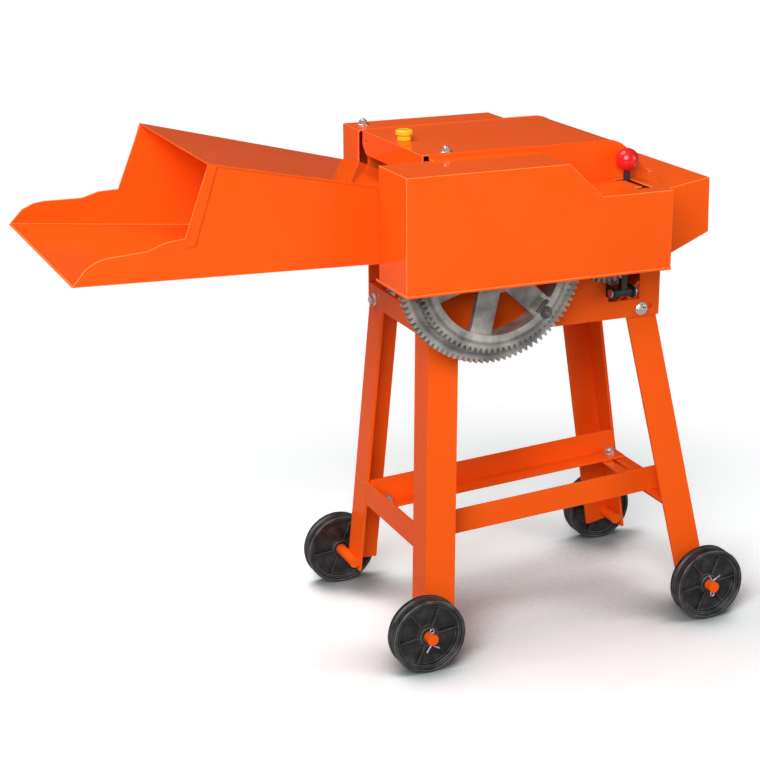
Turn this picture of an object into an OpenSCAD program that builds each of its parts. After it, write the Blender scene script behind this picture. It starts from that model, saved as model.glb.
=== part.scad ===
// Chaff cutter: a wheeled feed chopper of bent sheet steel on four angle-iron legs.
// X runs along the feed, from the trough to the chute. Z is up, and the feed gear faces -Y.
// X is zero at the feed end of the side plates, and Y is zero midway between them.

/* [Side plates] */
// Length of the side plates along the feed
frame_len = 396; // [392:1:408]
// Width over the outer faces of the side plates
frame_w = 244; // [236:1:264]
// Thickness of the side plates
plate_t = 4; // [3:0.5:5]
// Height of the lower edge of the side plates above the floor
frame_z = 507.5; // [460:0.5:560]
// Height of the side plates
plate_h = 284.5; // [282:0.5:292]
// Size of the sloped corner at the discharge end of the side plates
slope_cut = 82; // [76:1:86]
// Radius that blends the sloped corner into the top edge
slope_r = 48; // [30:1:60]
// Height of the end rails
rail_h = 35; // [28:1:40]

/* [Gear train] */
// Gear module of the feed train
gear_m = 3; // [2.9:0.05:3.1]
// Teeth of the slow feed ring
ring_slow_n = 99; // [98:1:100]
// Teeth of the fast feed ring
ring_fast_n = 85; // [84:1:86]
// Teeth of the slow sliding pinion
pinion_slow_n = 25; // [24:1:26]
// Face width of the feed rings
ring_w = 14; // [13:0.5:15]
// Face width of the sliding pinions
pinion_w = 12; // [11:0.5:12.5]
// Clear gap between the two feed rings
ring_gap = 5; // [4:0.5:6]
// Gap between the side plate and the slow ring
ring_off = 27; // [26:0.5:29]
// Inner radius of the feed rings
ring_bore_r = 103.5; // [98:0.5:108]
// Width of a spoke of the feed gear
spoke_w = 35; // [28:1:40]
// Teeth of each roller gear
roller_gear_n = 13; // [13:1:14]
// Gear module of the roller gears
roller_gear_m = 6; // [5.8:0.1:6.2]
// Face width of the roller gears
roller_gear_w = 20; // [14:1:24]

/* [Rollers and rotor] */
// Distance of the roller axes from the discharge end of the side plates
feed_in = 312; // [308:1:316]
// Height of the lower roller axis above the lower edge of the side plates
feed_rise = 120.5; // [116:0.5:122]
// Height of the main shaft above the lower roller axis
shaft_rise = 19.3; // [16:0.1:22]
// Radius of the feed rollers over their ribs
roller_r = 34; // [30:0.5:36]
// Number of ribs on a feed roller
roller_rib_n = 12; // [8:1:16]
// Radius of the roller shafts
roller_shaft_r = 14; // [12:0.5:16]
// Radius of the main shaft
main_shaft_r = 15; // [13:0.5:16]
// Radius swept by the knife edges
rotor_r = 119; // [112:0.5:120]
// Number of knives on the rotor
knife_n = 3; // [2:1:4]
// Thickness of a knife
knife_t = 8; // [6:0.5:10]
// Outer radius of the drive pulley
pulley_r = 75; // [60:1:78]
// Width of the drive pulley
pulley_w = 36; // [26:1:38]

/* [Gear cover] */
// Thickness of the covers, the trough, the hood, the lid and the chute
sheet_t = 2; // [1.5:0.25:3]
// Reach of the gear cover beyond the roller axes, towards the feed end
cover_reach = 171; // [166:1:179]
// Depth of the gear cover in front of the side plate
cover_d = 117; // [114:1:122]
// Distance from the discharge end of the side plates to the end of the gear cover
cover_stop = 53; // [48:1:56]
// Height of the lower edge of the covers above the lower edge of the side plates
cover_rise = 104.5; // [96:0.5:110]
// Drop of the gear cover below the top of the side plates
cover_drop = 6; // [2:0.5:8]
// Drop of the shelf of the covers below their top
shelf_drop = 52.5; // [50:0.5:54]
// Length of the shelf of the gear cover
shelf_len = 118; // [112:1:124]
// Run of the sloped face down to the shelf
shelf_run = 56; // [50:1:60]
// Width of the folded lip under the front of the gear cover
cover_lip = 15; // [10:1:18]
// Depth of the rear cover behind the side plate
rear_d = 69.5; // [66:0.5:80]
// Reach of the rear cover beyond the feed end of the side plates
rear_reach = 14; // [12:1:20]
// Distance from the discharge end of the side plates to the end of the rear cover
rear_stop = 22; // [16:1:26]
// Length of the shelf of the rear cover
rear_shelf_len = 74; // [66:1:80]
// Drop of the rear cover below the top of the side plates
rear_drop = 2; // [1:0.5:6]

/* [Shift lever] */
// Distance from the discharge end of the side plates to the lever
lever_stop = 78; // [76:1:79]
// Gap between the side plate and the axis of the lever
lever_off = 20; // [20:0.5:22]
// Height of the lever pivot above the lower edge of the side plates
lever_rise = 48.5; // [44:0.5:54]
// Radius of the lever rod
lever_r = 5; // [4:0.5:5.5]
// Radius of the ball on the lever
ball_r = 17.5; // [14:0.5:18.5]
// Height of the ball above the shelf of the gear cover
ball_rise = 30.5; // [28:0.5:40]
// Swing of the lever
lever_swing = 19; // [18.5:0.1:19.5]

/* [Feed trough] */
// Length of the trough
trough_len = 557; // [480:1:620]
// Half width of the trough at its tip
trough_tip_w = 206; // [170:1:210]
// Height of the tip of the trough above its floor at the side plates
trough_tip_rise = 37; // [20:1:50]
// Height of the trough floor at the side plates above their lower edge
trough_rise = 126.5; // [122:0.5:132]
// Height of the low trough walls at the tip
wall_low = 34; // [28:1:40]
// Height of the step in the trough walls
wall_step = 12; // [8:1:16]
// Length of the open part of the trough
trough_open = 166; // [150:1:190]
// Length of the sloped front edge of the hood, along the feed
hood_rake = 38; // [20:1:60]
// Height of the hood at its front, above the trough floor at the side plates
hood_front_h = 183; // [170:1:200]
// Height of the hood at the side plates, above the trough floor there
hood_back_h = 102; // [98:1:106]
// Width of the folded strip down the front edge of the hood
hood_strip = 14; // [8:1:24]

/* [Discharge chute] */
// Reach of the chute beyond the side plates
chute_reach = 87; // [60:1:130]
// Height of the mouth of the chute
chute_mouth_h = 87; // [80:1:95]
// Height of the lower edge of the mouth above the lower edge of the side plates
chute_mouth_rise = 124.5; // [110:0.5:135]
// Depth to which the chute goes in between the side plates
chute_in = 14; // [10:1:15]
// Height of the chute floor where it starts, above the lower edge of the side plates
chute_floor_rise = 80.5; // [76:0.5:84]
// Height of the chute top where it starts, above the lower edge of the side plates
chute_top_rise = 196; // [190:0.5:199]

/* [Lid] */
// Drop of the lid below the top of the side plates
lid_drop = 1; // [0.5:0.5:3]
// Reach of the lid beyond the feed end of the side plates
lid_reach = 10; // [8:1:11]
// Depth of the flange at the free end of the lid
lid_flange = 37; // [25:1:40]
// Radius of the hinge pin of the lid
hinge_r = 4; // [3:0.5:5]
// Upper radius of the cap on the lid
cap_r = 13.5; // [10:0.5:16]
// Height of the cap on the lid
cap_h = 16; // [12:0.5:20]

/* [Legs and wheels] */
// Width of the leg flanges
leg_w = 50; // [45:1:54]
// Thickness of the legs
leg_t = 5; // [4:0.5:6]
// Height at which the legs end above the floor
leg_foot = 48; // [44:1:50]
// Sideways splay of the legs from the side plates down to the axles
leg_splay = 44; // [38:1:50]
// Splay of the feed-end legs along the machine
leg_splay_feed = 24; // [16:1:34]
// Splay of the discharge-end legs along the machine
leg_splay_out = 89; // [70:1:100]
// Radius of the wheels
wheel_r = 60; // [54:1:64]
// Width of the wheels
wheel_w = 28; // [22:1:32]
// Radius of the axle pins
axle_r = 9; // [7:0.5:10]
// Number of ribs in a wheel
wheel_rib_n = 6; // [4:1:8]
// Height of the feed-end cross brace above the floor
brace_z = 168; // [155:1:172]
// Rise of the flange of the discharge-end brace above that of the feed-end brace
bed_rise = 25; // [20:1:40]
// Width of the brace flanges
brace_w = 40; // [36:1:46]
// Thickness of the braces and motor rails
brace_t = 4; // [3:0.5:5]
// Gap between a motor rail and the legs beside it
rail_clear = 1; // [0.5:0.5:6]

/* [Fits] */
// Running gap between a shaft and its bore
run_gap = 0.08; // [0.06:0.01:0.1]
// Gap between a bolt and its hole
bolt_gap = 0.3; // [0.25:0.05:0.5]
// Gap between parts that move past each other
side_gap = 2; // [1.5:0.25:2.5]
// Radius of the frame bolts
bolt_r = 5; // [4:0.5:6]
// Backlash of the feed train
backlash = 0.5; // [0.4:0.05:0.6]

/* [Hidden] */
$fn = 64;
plate_out = frame_w / 2;
plate_in = plate_out - plate_t;
plate_top = frame_z + plate_h;
feed_z = frame_z + feed_rise;
pinion_fast_n = ring_slow_n + pinion_slow_n - ring_fast_n;
train_cd = gear_m * (ring_slow_n + pinion_slow_n) / 2;
feed_x = frame_len - feed_in;
main_x = feed_x + sqrt(train_cd * train_cd - shaft_rise * shaft_rise);
main_z = feed_z + shaft_rise;
mesh_dir = atan2(shaft_rise, main_x - feed_x);
roller_cd = roller_gear_m * roller_gear_n;
upper_z = feed_z + roller_cd;

// Feed rings and sliding pinions along Y, from the side plate outward
slow_y1 = -plate_out - ring_off;
slow_y0 = slow_y1 - ring_w;
fast_y1 = slow_y0 - ring_gap;
fast_y0 = fast_y1 - ring_w;
park_gap = 2;
pinion_slow_y0 = slow_y1 + park_gap;
pinion_slow_y1 = pinion_slow_y0 + pinion_w;
pinion_fast_y0 = (fast_y0 + fast_y1 - pinion_w) / 2;
pinion_fast_y1 = pinion_fast_y0 + pinion_w;
fork_y = (pinion_fast_y1 + pinion_slow_y0) / 2;
fork_r = 4.5;
fork_gap = 1;
fork_w = 2 * (fork_r + fork_gap);
collar_r = main_shaft_r + 16;
groove_r = main_shaft_r + 8;
fork_end_r = groove_r + 1.5;

// Bearing housings on the outer faces of the side plates
housing_d = 14;
main_housing_d = -pinion_slow_y1 - plate_out - side_gap;
housing_gap = 4;
housing_w = roller_cd - 8;
main_housing_w = 90;
boss_r = 30;
bore_extra = 3;
gear_y0 = plate_out + housing_d + housing_gap;
pulley_y0 = gear_y0;

// Gear cover
cover_x0 = feed_x - cover_reach;
cover_x1 = frame_len - cover_stop;
cover_y0 = -plate_out - cover_d;
cover_z0 = frame_z + cover_rise;
cover_z1 = plate_top - cover_drop;
shelf_z = cover_z1 - shelf_drop;
shelf_x = cover_x1 - shelf_len;
cover_path = [[cover_x0, cover_z0], [cover_x0, cover_z1], [shelf_x - shelf_run, cover_z1],
    [shelf_x, shelf_z], [cover_x1, shelf_z], [cover_x1, cover_z0]];

// Rear cover
rear_y1 = plate_out + rear_d;
rear_x0 = -rear_reach;
rear_x1 = frame_len - rear_stop;
rear_z1 = plate_top - rear_drop;
rear_shelf_z = rear_z1 - shelf_drop + 2.5;
rear_shelf_x = rear_x1 - rear_shelf_len;
rear_path = [[rear_x0, cover_z0], [rear_x0, rear_z1], [rear_shelf_x - shelf_run, rear_z1],
    [rear_shelf_x, rear_shelf_z], [rear_x1, rear_shelf_z], [rear_x1, cover_z0]];

// Shift lever
lever_x = frame_len - lever_stop;
lever_y = -plate_out - lever_off;
lever_z = frame_z + lever_rise;
ball_z = shelf_z + ball_rise;
slot_half = lever_r + 1;
slot_y1 = lever_y + slot_half + 2;
slot_y0 = lever_y - (shelf_z - lever_z) * tan(lever_swing) - slot_half - 1;
notch_len = 18;
notch_w = 11;

// Trough, hood and chute
trough_z = frame_z + trough_rise;
trough_end_w = plate_out - sheet_t / 2;
trough_tip_z = trough_z + trough_tip_rise;
trough_taper = (trough_tip_w - trough_end_w) / trough_len;
trough_yaw = atan(trough_taper);
floor_tilt = trough_tip_rise / trough_len;
hood_x0 = trough_open - trough_len;
hood_x1 = hood_x0 + hood_rake;
hood_front_z = trough_z + hood_front_h;
hood_back_z = trough_z + hood_back_h;
wall_z = trough_tip_z + wall_low;
chute_x0 = frame_len - chute_in;
chute_x1 = frame_len + chute_reach;
chute_mouth_z = frame_z + chute_mouth_rise;
chute_path = [[chute_x0, frame_z + chute_floor_rise], [chute_x1, chute_mouth_z],
    [chute_x1 - 2, chute_mouth_z + chute_mouth_h], [chute_x0, frame_z + chute_top_rise]];

// Lid and its hinge
lid_z = plate_top - lid_drop;
lid_w = plate_in - side_gap;
hinge_x = frame_len - 25;
hinge_z = plate_top - slope_cut + 25;
knuckle_r = hinge_r + 3;
slope_x = frame_len - slope_cut;
blend = slope_r * tan(22.5);
blend_n = 8;
slope_arc = [for (i = [0 : blend_n]) [slope_x - blend + slope_r * sin(45 * i / blend_n),
    plate_top - slope_r + slope_r * cos(45 * i / blend_n)]];
lid_path = concat([[-lid_reach, lid_z]], [for (p = slope_arc) p - [0, lid_drop]],
    [[hinge_x, hinge_z]]);

// Legs, axles and the motor bed
axle_z = wheel_r;
leg_drop = frame_z - axle_z;
leg_set = 3;
wheel_x_feed = -leg_splay_feed - axle_r + 1;
wheel_x_out = frame_len - leg_set + leg_splay_out - leg_t - axle_r;
leg_y_axle = plate_in + leg_splay;
wheel_gap = 11;
wheel_y = leg_y_axle + wheel_gap + wheel_w / 2;
axle_end = wheel_y + wheel_w / 2 + wheel_gap;
pin_r = 1.5;
pin_y = axle_end - 5;
function leg_y(z) = plate_in + leg_splay * (frame_z - z) / leg_drop;
function leg_x_feed(z) = -leg_splay_feed * (frame_z - z) / leg_drop;
function leg_x_out(z) = frame_len - leg_set + leg_splay_out * (frame_z - z) / leg_drop;
bed_z0 = brace_z + brace_t;
bed_z1 = bed_z0 + bed_rise;
bed_mid0 = brace_z + brace_w / 2;
bed_lead = 4;
bed_x0 = leg_x_feed(bed_mid0) + brace_t + bed_lead;
bed_x1 = leg_x_out(bed_z1) - leg_w;
bed_gap = 0.2;
bed_tilt = atan(bed_rise / (bed_x1 - bed_x0));
bed_len = (leg_x_out(bed_z1) - leg_t - 3 - bed_x0) / cos(bed_tilt);
rail_y = leg_y(bed_z1 + brace_w) - leg_w - rail_clear;
rail_bolt_y = rail_y - brace_w / 2;
bolt_head_r = bolt_r * 1.8;
bolt_head_h = bolt_r * 1.3;
washer_r = bolt_r * 2.1;
washer_t = 2;

// Shift of the whole machine that puts its origin under the middle of its box
origin_x = (wheel_x_out + wheel_r - trough_len) / 2;
origin_y = (cover_y0 + axle_end) / 2;

orange = [1, 0.38, 0.1];
steel = [0.55, 0.56, 0.57];
dark_steel = [0.25, 0.25, 0.26];
zinc = [0.78, 0.79, 0.8];

// Extrudes an X-Z profile along Y
module along_y(y0, y1) {
    translate([0, y1, 0]) rotate([90, 0, 0]) linear_extrude(y1 - y0) children();
}

// Round bar along Y
module y_rod(x, z, r, y0, y1) {
    translate([x, y1, z]) rotate([90, 0, 0]) cylinder(r = r, h = y1 - y0);
}

// Round bar along X
module x_rod(y, z, r, x0, x1) {
    translate([x0, y, z]) rotate([0, 90, 0]) cylinder(r = r, h = x1 - x0);
}

// Block between two opposite corners
module block(p0, p1) {
    translate(p0) cube(p1 - p0);
}

// Moves the machine from the corner of its side plates to its own origin
module placed() {
    translate([-origin_x, -origin_y, 0]) children();
}

// Points of a bent sheet that lies to the right of a path
function unit(v) = v / norm(v);
function right_n(a, b) = [unit(b - a)[1], -unit(b - a)[0]];
function path_n(p, i) = right_n(p[i], p[i + 1]);
function inner_pt(p, i, t) = i == 0 ? p[0] + t * path_n(p, 0)
    : i == len(p) - 1 ? p[i] + t * path_n(p, i - 1)
    : p[i] + t * (path_n(p, i - 1) + path_n(p, i)) / (1 + path_n(p, i - 1) * path_n(p, i));
function sheet_pts(p, t) = concat(p, [for (i = [len(p) - 1 : -1 : 0]) inner_pt(p, i, t)]);

// Outline of a spur gear with involute flanks and a tooth centred on the X axis
pressure = 20;
function roll(r, rb) = sqrt(max(0, (r / rb) * (r / rb) - 1));
function inv(r, rb) = roll(r, rb) * 180 / PI - atan(roll(r, rb));
function flank_r(m, n, add) = let (rp = m * n / 2, rb = rp * cos(pressure), r0 = rp - 1.25 * m)
    r0 < rb ? [r0, rb, (rb + rp) / 2, rp + add * m / 2, rp + add * m]
    : [r0, rp, rp + add * m];
function half_a(r, m, n, thin) = let (rp = m * n / 2, rb = rp * cos(pressure))
    (90 / n) - (thin / rp) * (90 / PI) + inv(rp, rb) - inv(max(r, rb), rb);
function gear_pts(m, n, thin, add = 1) = let (rr = flank_r(m, n, add), last = len(rr) - 1)
    [for (i = [0 : n - 1]) for (k = [0 : 2 * last + 1])
        let (r = k <= last ? rr[k] : rr[2 * last + 1 - k], h = half_a(r, m, n, thin),
            a = 360 * i / n + (k <= last ? -h : h)) [r * cos(a), r * sin(a)]];

// Hexagon bolt along -Y with washers, through plates between y0 and y1
module y_bolt(x, z, y0, y1) {
    y_rod(x, z, washer_r, y0 - washer_t, y0);
    translate([x, y0 - washer_t, z]) rotate([90, 0, 0])
        cylinder(r = bolt_head_r, h = bolt_head_h, $fn = 6);
    y_rod(x, z, bolt_r, y0 - washer_t, y1 + bolt_head_h + 3);
    translate([x, y1 + bolt_head_h, z]) rotate([90, 0, 0])
        cylinder(r = bolt_head_r, h = bolt_head_h, $fn = 6);
}

// Nut and washer on a stud that stands on a top face
module top_nut(x, y, z, depth) {
    translate([x, y, z]) cylinder(r = washer_r, h = washer_t);
    translate([x, y, z + washer_t]) cylinder(r = bolt_head_r, h = bolt_head_h, $fn = 6);
    translate([x, y, z - depth]) cylinder(r = bolt_r, h = depth + washer_t + bolt_head_h + 2);
}

// Side plates

lever_win_x = 13;
lever_win_w = 55;
lever_win_z = 28.5;
lever_win_h = 42;
leg_bolt_in = 32;
leg_bolt_rise = 12.5;
guard_hole_r = 4;

module plate_outline() {
    polygon(concat([[0, frame_z], [frame_len, frame_z], [frame_len, plate_top - slope_cut]],
        [for (i = [blend_n : -1 : 0]) slope_arc[i]], [[0, plate_top]]));
}

module side_plate(y0, y1) {
    difference() {
        along_y(y0, y1) plate_outline();
        y_rod(feed_x, feed_z, roller_shaft_r + bore_extra, y0 - 1, y1 + 1);
        y_rod(feed_x, upper_z, roller_shaft_r + bore_extra, y0 - 1, y1 + 1);
        y_rod(main_x, main_z, main_shaft_r + bore_extra, y0 - 1, y1 + 1);
        y_rod(hinge_x, hinge_z, hinge_r + run_gap, y0 - 1, y1 + 1);
        for (x = [leg_bolt_in, frame_len - leg_bolt_in])
            y_rod(x, frame_z + leg_bolt_rise, bolt_r + bolt_gap, y0 - 1, y1 + 1);
    }
}

module side_plate_front() {
    placed() color(orange) difference() {
        side_plate(-plate_out, -plate_in);
        block([lever_x - lever_win_x, -plate_out - 1, frame_z + lever_win_z],
            [lever_x - lever_win_x + lever_win_w, -plate_in + 1, frame_z + lever_win_z + lever_win_h]);
        y_rod(frame_len - leg_bolt_in / 2, frame_z + leg_bolt_rise + 3, guard_hole_r, -plate_out - 1,
            -plate_in + 1);
    }
}

module side_plate_rear() {
    placed() color(orange) side_plate(plate_in, plate_out);
}

// End rail: an angle between the side plates, bolted to the tabs of the legs
rail_bolt_in = 22;
module end_rail(x0, x1, dir) {
    difference() {
        union() {
            block([x0, -plate_in, frame_z], [x1, plate_in, frame_z + rail_h]);
            block([dir > 0 ? x0 : x1 - rail_h, -plate_in + leg_w + 6, frame_z],
                [dir > 0 ? x0 + rail_h : x1, plate_in - leg_w - 6, frame_z + plate_t]);
        }
        for (s = [-1, 1])
            x_rod(s * (plate_in - rail_bolt_in), frame_z + leg_bolt_rise, bolt_r + bolt_gap, x0 - 1,
                x1 + 1);
    }
}

module end_rail_feed() {
    placed() color(orange) end_rail(0, plate_t, 1);
}

module end_rail_out() {
    placed() color(orange) end_rail(frame_len - plate_t, frame_len, -1);
}

// Legs: pressed angles that stand inside the side plates and splay outward below them

tab_h = rail_h;

module angle_2d(w, t) {
    square([w, t]);
    square([t, w]);
}

// One leg with its corner at the origin, flanges to +X and +Y, splayed by dx and dy on the way down
module leg_bar(dx, dy) {
    run = sqrt(dx * dx + dy * dy + leg_drop * leg_drop);
    foot = run * (leg_drop + axle_z - leg_foot) / leg_drop;
    difference() {
        rotate([asin(dy / run), -atan(dx / leg_drop), 0])
            translate([0, 0, -foot]) linear_extrude(foot + leg_w) angle_2d(leg_w, leg_t);
        translate([-leg_w, -leg_w, 0]) cube([3 * leg_w, 3 * leg_w, 2 * leg_w]);
    }
}

// Feed-end leg on the -Y side
module leg_feed() {
    difference() {
        union() {
            translate([0, -plate_in, frame_z]) leg_bar(-leg_splay_feed, -leg_splay);
            translate([plate_t, -plate_in, frame_z]) linear_extrude(tab_h) angle_2d(leg_w, leg_t);
        }
        y_rod(wheel_x_feed, axle_z, axle_r + 0.02, -axle_end, 0);
        y_rod(leg_bolt_in, frame_z + leg_bolt_rise, bolt_r + bolt_gap, -plate_out, 0);
        x_rod(-plate_in + rail_bolt_in, frame_z + leg_bolt_rise, bolt_r + bolt_gap, 0, leg_w);
    }
}

// Discharge-end leg on the -Y side
module leg_out() {
    difference() {
        union() {
            translate([frame_len - leg_set, -plate_in, frame_z]) mirror([1, 0, 0])
                leg_bar(-leg_splay_out, -leg_splay);
            translate([frame_len - plate_t, -plate_in, frame_z]) mirror([1, 0, 0])
                linear_extrude(tab_h) angle_2d(leg_w, leg_t);
        }
        y_rod(wheel_x_out, axle_z, axle_r + 0.02, -axle_end, 0);
        y_rod(frame_len - leg_bolt_in, frame_z + leg_bolt_rise, bolt_r + bolt_gap, -plate_out, 0);
        x_rod(-plate_in + rail_bolt_in, frame_z + leg_bolt_rise, bolt_r + bolt_gap,
            frame_len - leg_w, frame_len);
    }
}

module leg_fl() {
    placed() color(orange) leg_feed();
}

module leg_fr() {
    placed() color(orange) leg_out();
}

module leg_bl() {
    placed() color(orange) mirror([0, 1, 0]) leg_feed();
}

module leg_br() {
    placed() color(orange) mirror([0, 1, 0]) leg_out();
}

// Cross braces and motor rails: the bed that carries a motor between the legs

slot_inner = 8;
slot_len = rail_bolt_y + bolt_r + 1 - slot_inner;
weld_in = 2;
bed_nut_z = -brace_t - 2.5;

// Feed-end brace, flange at the bottom, welded between the legs
module brace_feed() {
    x0 = leg_x_feed(bed_mid0) + 0.5;
    placed() color(orange) difference() {
        union() {
            block([x0, -leg_y(bed_z0) + leg_w - 2, brace_z],
                [x0 + brace_t, leg_y(bed_z0) - leg_w + 2, brace_z + brace_w]);
            block([x0, -leg_y(bed_z0) + 1, brace_z], [x0 + brace_w, leg_y(bed_z0) - 1, bed_z0]);
        }
        leg_feed();
        mirror([0, 1, 0]) leg_feed();
        for (s = [-1, 1])
            translate([bed_x0 + rail_bolt_in, s * rail_bolt_y, brace_z - 1])
                cylinder(r = bolt_r + 1, h = brace_t + 2);
    }
}

// Discharge-end brace, flange at the top with slots along which the rails are set
module brace_out() {
    x1 = leg_x_out(bed_z1) - 0.5;
    placed() color(orange) difference() {
        union() {
            block([x1 - brace_t, -leg_y(bed_z1) + leg_w - 2, bed_z1 - brace_w],
                [x1, leg_y(bed_z1) - leg_w + 2, bed_z1]);
            block([x1 - leg_w + weld_in, -leg_y(bed_z1) + 1, bed_z1 - brace_t],
                [x1, leg_y(bed_z1) - 1, bed_z1]);
        }
        leg_out();
        mirror([0, 1, 0]) leg_out();
        for (s = [-1, 1])
            bed_slot(s);
    }
}

module bed_slot(s) {
    x = x_slot();
    y0 = rail_bolt_y + bolt_r + 1;
    translate([x, s * (y0 - slot_len / 2), bed_z1 - brace_t - 1]) {
        cube([2 * bolt_r + 2, slot_len - 2 * bolt_r - 2, 4 * brace_t], center = true);
        for (e = [-1, 1])
            translate([0, e * (slot_len / 2 - bolt_r - 1), -2 * brace_t])
                cylinder(r = bolt_r + 1, h = 4 * brace_t);
    }
}

function x_slot() = leg_x_out(bed_z1) - leg_w / 2 - 2;

// Places children in the plane of the tilted motor bed
module on_bed() {
    translate([bed_x0, 0, bed_z0 + bed_gap]) rotate([0, -bed_tilt, 0]) children();
}

module motor_rail() {
    difference() {
        on_bed() {
            block([0, rail_y - brace_w, 0], [bed_len, rail_y, brace_t]);
            block([0, rail_y - brace_t, 0], [bed_len, rail_y, brace_w]);
        }
        on_bed() for (x = [rail_bolt_in, rail_bolt_out()])
            translate([x, rail_bolt_y, -1]) cylinder(r = bolt_r + bolt_gap, h = brace_t + 2);
    }
}

function rail_bolt_out() = (x_slot() - bed_x0) / cos(bed_tilt);

module rail_front() {
    placed() color(orange) mirror([0, 1, 0]) motor_rail();
}

module rail_rear() {
    placed() color(orange) motor_rail();
}

module rail_bolts() {
    placed() color(zinc) for (s = [-1, 1]) on_bed() for (x = [rail_bolt_in, rail_bolt_out()])
        translate([x, s * rail_bolt_y, 0]) {
            translate([0, 0, brace_t]) cylinder(r = washer_r, h = washer_t);
            translate([0, 0, brace_t + washer_t]) cylinder(r = bolt_head_r, h = bolt_head_h, $fn = 6);
            translate([0, 0, bed_nut_z - bolt_head_h])
                cylinder(r = bolt_head_r, h = bolt_head_h, $fn = 6);
            translate([0, 0, bed_nut_z - bolt_head_h - 2])
                cylinder(r = bolt_r, h = brace_t + washer_t + 2 * bolt_head_h + 5 - bed_nut_z);
        }
}

module leg_bolts() {
    placed() color(zinc) {
        for (x = [leg_bolt_in, frame_len - leg_bolt_in]) {
            y_bolt(x, frame_z + leg_bolt_rise, -plate_out, -plate_in + leg_t);
            mirror([0, 1, 0]) y_bolt(x, frame_z + leg_bolt_rise, -plate_out, -plate_in + leg_t);
        }
    }
}

module rail_end_bolts() {
    placed() color(zinc) for (s = [-1, 1]) {
        translate([0, s * (plate_in - rail_bolt_in), 0]) rotate([0, 0, -90])
            y_bolt(0, frame_z + leg_bolt_rise, 0, plate_t + leg_t);
        translate([frame_len, s * (plate_in - rail_bolt_in), 0]) rotate([0, 0, 90])
            y_bolt(0, frame_z + leg_bolt_rise, 0, plate_t + leg_t);
    }
}

// Axles and wheels

hub_r = 16;
rim_r = 0.82 * wheel_r;
web_t = 8;
rib_t = 3;
tread_step = 4;

module each_axle() {
    for (x = [wheel_x_feed, wheel_x_out]) for (s = [0, 1]) mirror([0, s, 0]) translate([x, 0, axle_z])
        children();
}

module axle_stubs() {
    placed() color(orange) each_axle() difference() {
        y_rod(0, 0, axle_r, -axle_end, -leg_y_axle + leg_w);
        translate([0, -pin_y, -2 * axle_r]) cylinder(r = pin_r + bolt_gap, h = 4 * axle_r);
    }
}

// Split pins through the ends of the axles
module split_pins() {
    eye_r = 3;
    placed() color(zinc) each_axle() translate([0, -pin_y, 0]) {
        translate([0, 0, -axle_r - 8]) cylinder(r = pin_r, h = 2 * axle_r + 8 + 2);
        translate([0, 0, axle_r + 1 + eye_r]) rotate([90, 0, 0]) rotate_extrude($fn = 32)
            translate([eye_r, 0]) circle(r = pin_r, $fn = 16);
    }
}

// Wheel about the Y axis, outer side towards -Y
module wheel() {
    h = wheel_w / 2;
    difference() {
        union() {
            rotate([90, 0, 0]) rotate_extrude($fn = 96) polygon([
                [axle_r + run_gap, -h + 3], [hub_r, -h + 3], [hub_r + 1, -web_t / 2],
                    [rim_r - 2, -web_t / 2],
                [rim_r, -h + 1], [wheel_r - 3, -h], [wheel_r, -h + tread_step],
                    [wheel_r, -tread_step / 2 - 2],
                [wheel_r - 2, -tread_step / 2], [wheel_r - 2, tread_step / 2],
                    [wheel_r, tread_step / 2 + 2],
                [wheel_r, h - tread_step], [wheel_r - 3, h], [rim_r, h - 1], [rim_r - 2, web_t / 2],
                [hub_r + 1, web_t / 2], [hub_r, h], [axle_r + run_gap, h]]);
            for (a = [0 : wheel_rib_n - 1]) rotate([0, 360 * a / wheel_rib_n, 0])
                translate([hub_r - 1, -h + 5, -rib_t / 2]) cube([rim_r - hub_r, wheel_w - 10, rib_t]);
        }
        y_rod(0, 0, axle_r + run_gap, -wheel_w, wheel_w);
    }
}

module placed_wheel(x, s) {
    placed() color([0.06, 0.06, 0.07]) mirror([0, s, 0]) translate([x, -wheel_y, axle_z]) wheel();
}

module wheel_fl() {
    placed_wheel(wheel_x_feed, 0);
}

module wheel_fr() {
    placed_wheel(wheel_x_out, 0);
}

module wheel_bl() {
    placed_wheel(wheel_x_feed, 1);
}

module wheel_br() {
    placed_wheel(wheel_x_out, 1);
}

// Covers of bent sheet, open below and towards the side plates

trough_clear = 2;
module gear_cover() {
    tip_y = trough_end_w - cover_x0 * trough_taper + trough_clear;
    placed() color(orange) difference() {
        union() {
            along_y(cover_y0, cover_y0 + sheet_t) polygon(cover_path);
            along_y(cover_y0, -plate_out) polygon(sheet_pts(cover_path, sheet_t));
            block([cover_x0, cover_y0, cover_z0], [cover_x1, cover_y0 + cover_lip, cover_z0 + sheet_t]);
        }
        block([cover_x0 - 1, -tip_y, cover_z0 - 1], [-1, -plate_out + 1, hood_back_z - cover_x0]);
        block([lever_x - slot_half, slot_y0, shelf_z - 2 * sheet_t],
            [lever_x + slot_half, slot_y1, shelf_z + 1]);
        for (y = [slot_y1 - notch_w, slot_y0])
            block([lever_x - notch_len, y, shelf_z - 2 * sheet_t], [lever_x, y + notch_w, shelf_z + 1]);
    }
}

module rear_cover() {
    tip_y = trough_end_w + rear_reach * trough_taper + trough_clear;
    placed() color(orange) difference() {
        union() {
            along_y(rear_y1 - sheet_t, rear_y1) polygon(rear_path);
            along_y(plate_out, rear_y1) polygon(sheet_pts(rear_path, sheet_t));
        }
        block([rear_x0 - 1, plate_out - 1, cover_z0 - 1], [-1, tip_y, rear_z1 - 2 * sheet_t]);
        translate([rear_nut_x, rear_nut_y, rear_z1 - 10]) cylinder(r = bolt_r + bolt_gap, h = 20);
    }
}

rear_nut_in = 25;
rear_nut_out = 45;
rear_nut_x = rear_x0 + rear_nut_in;
rear_nut_y = plate_out + rear_nut_out;

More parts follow.
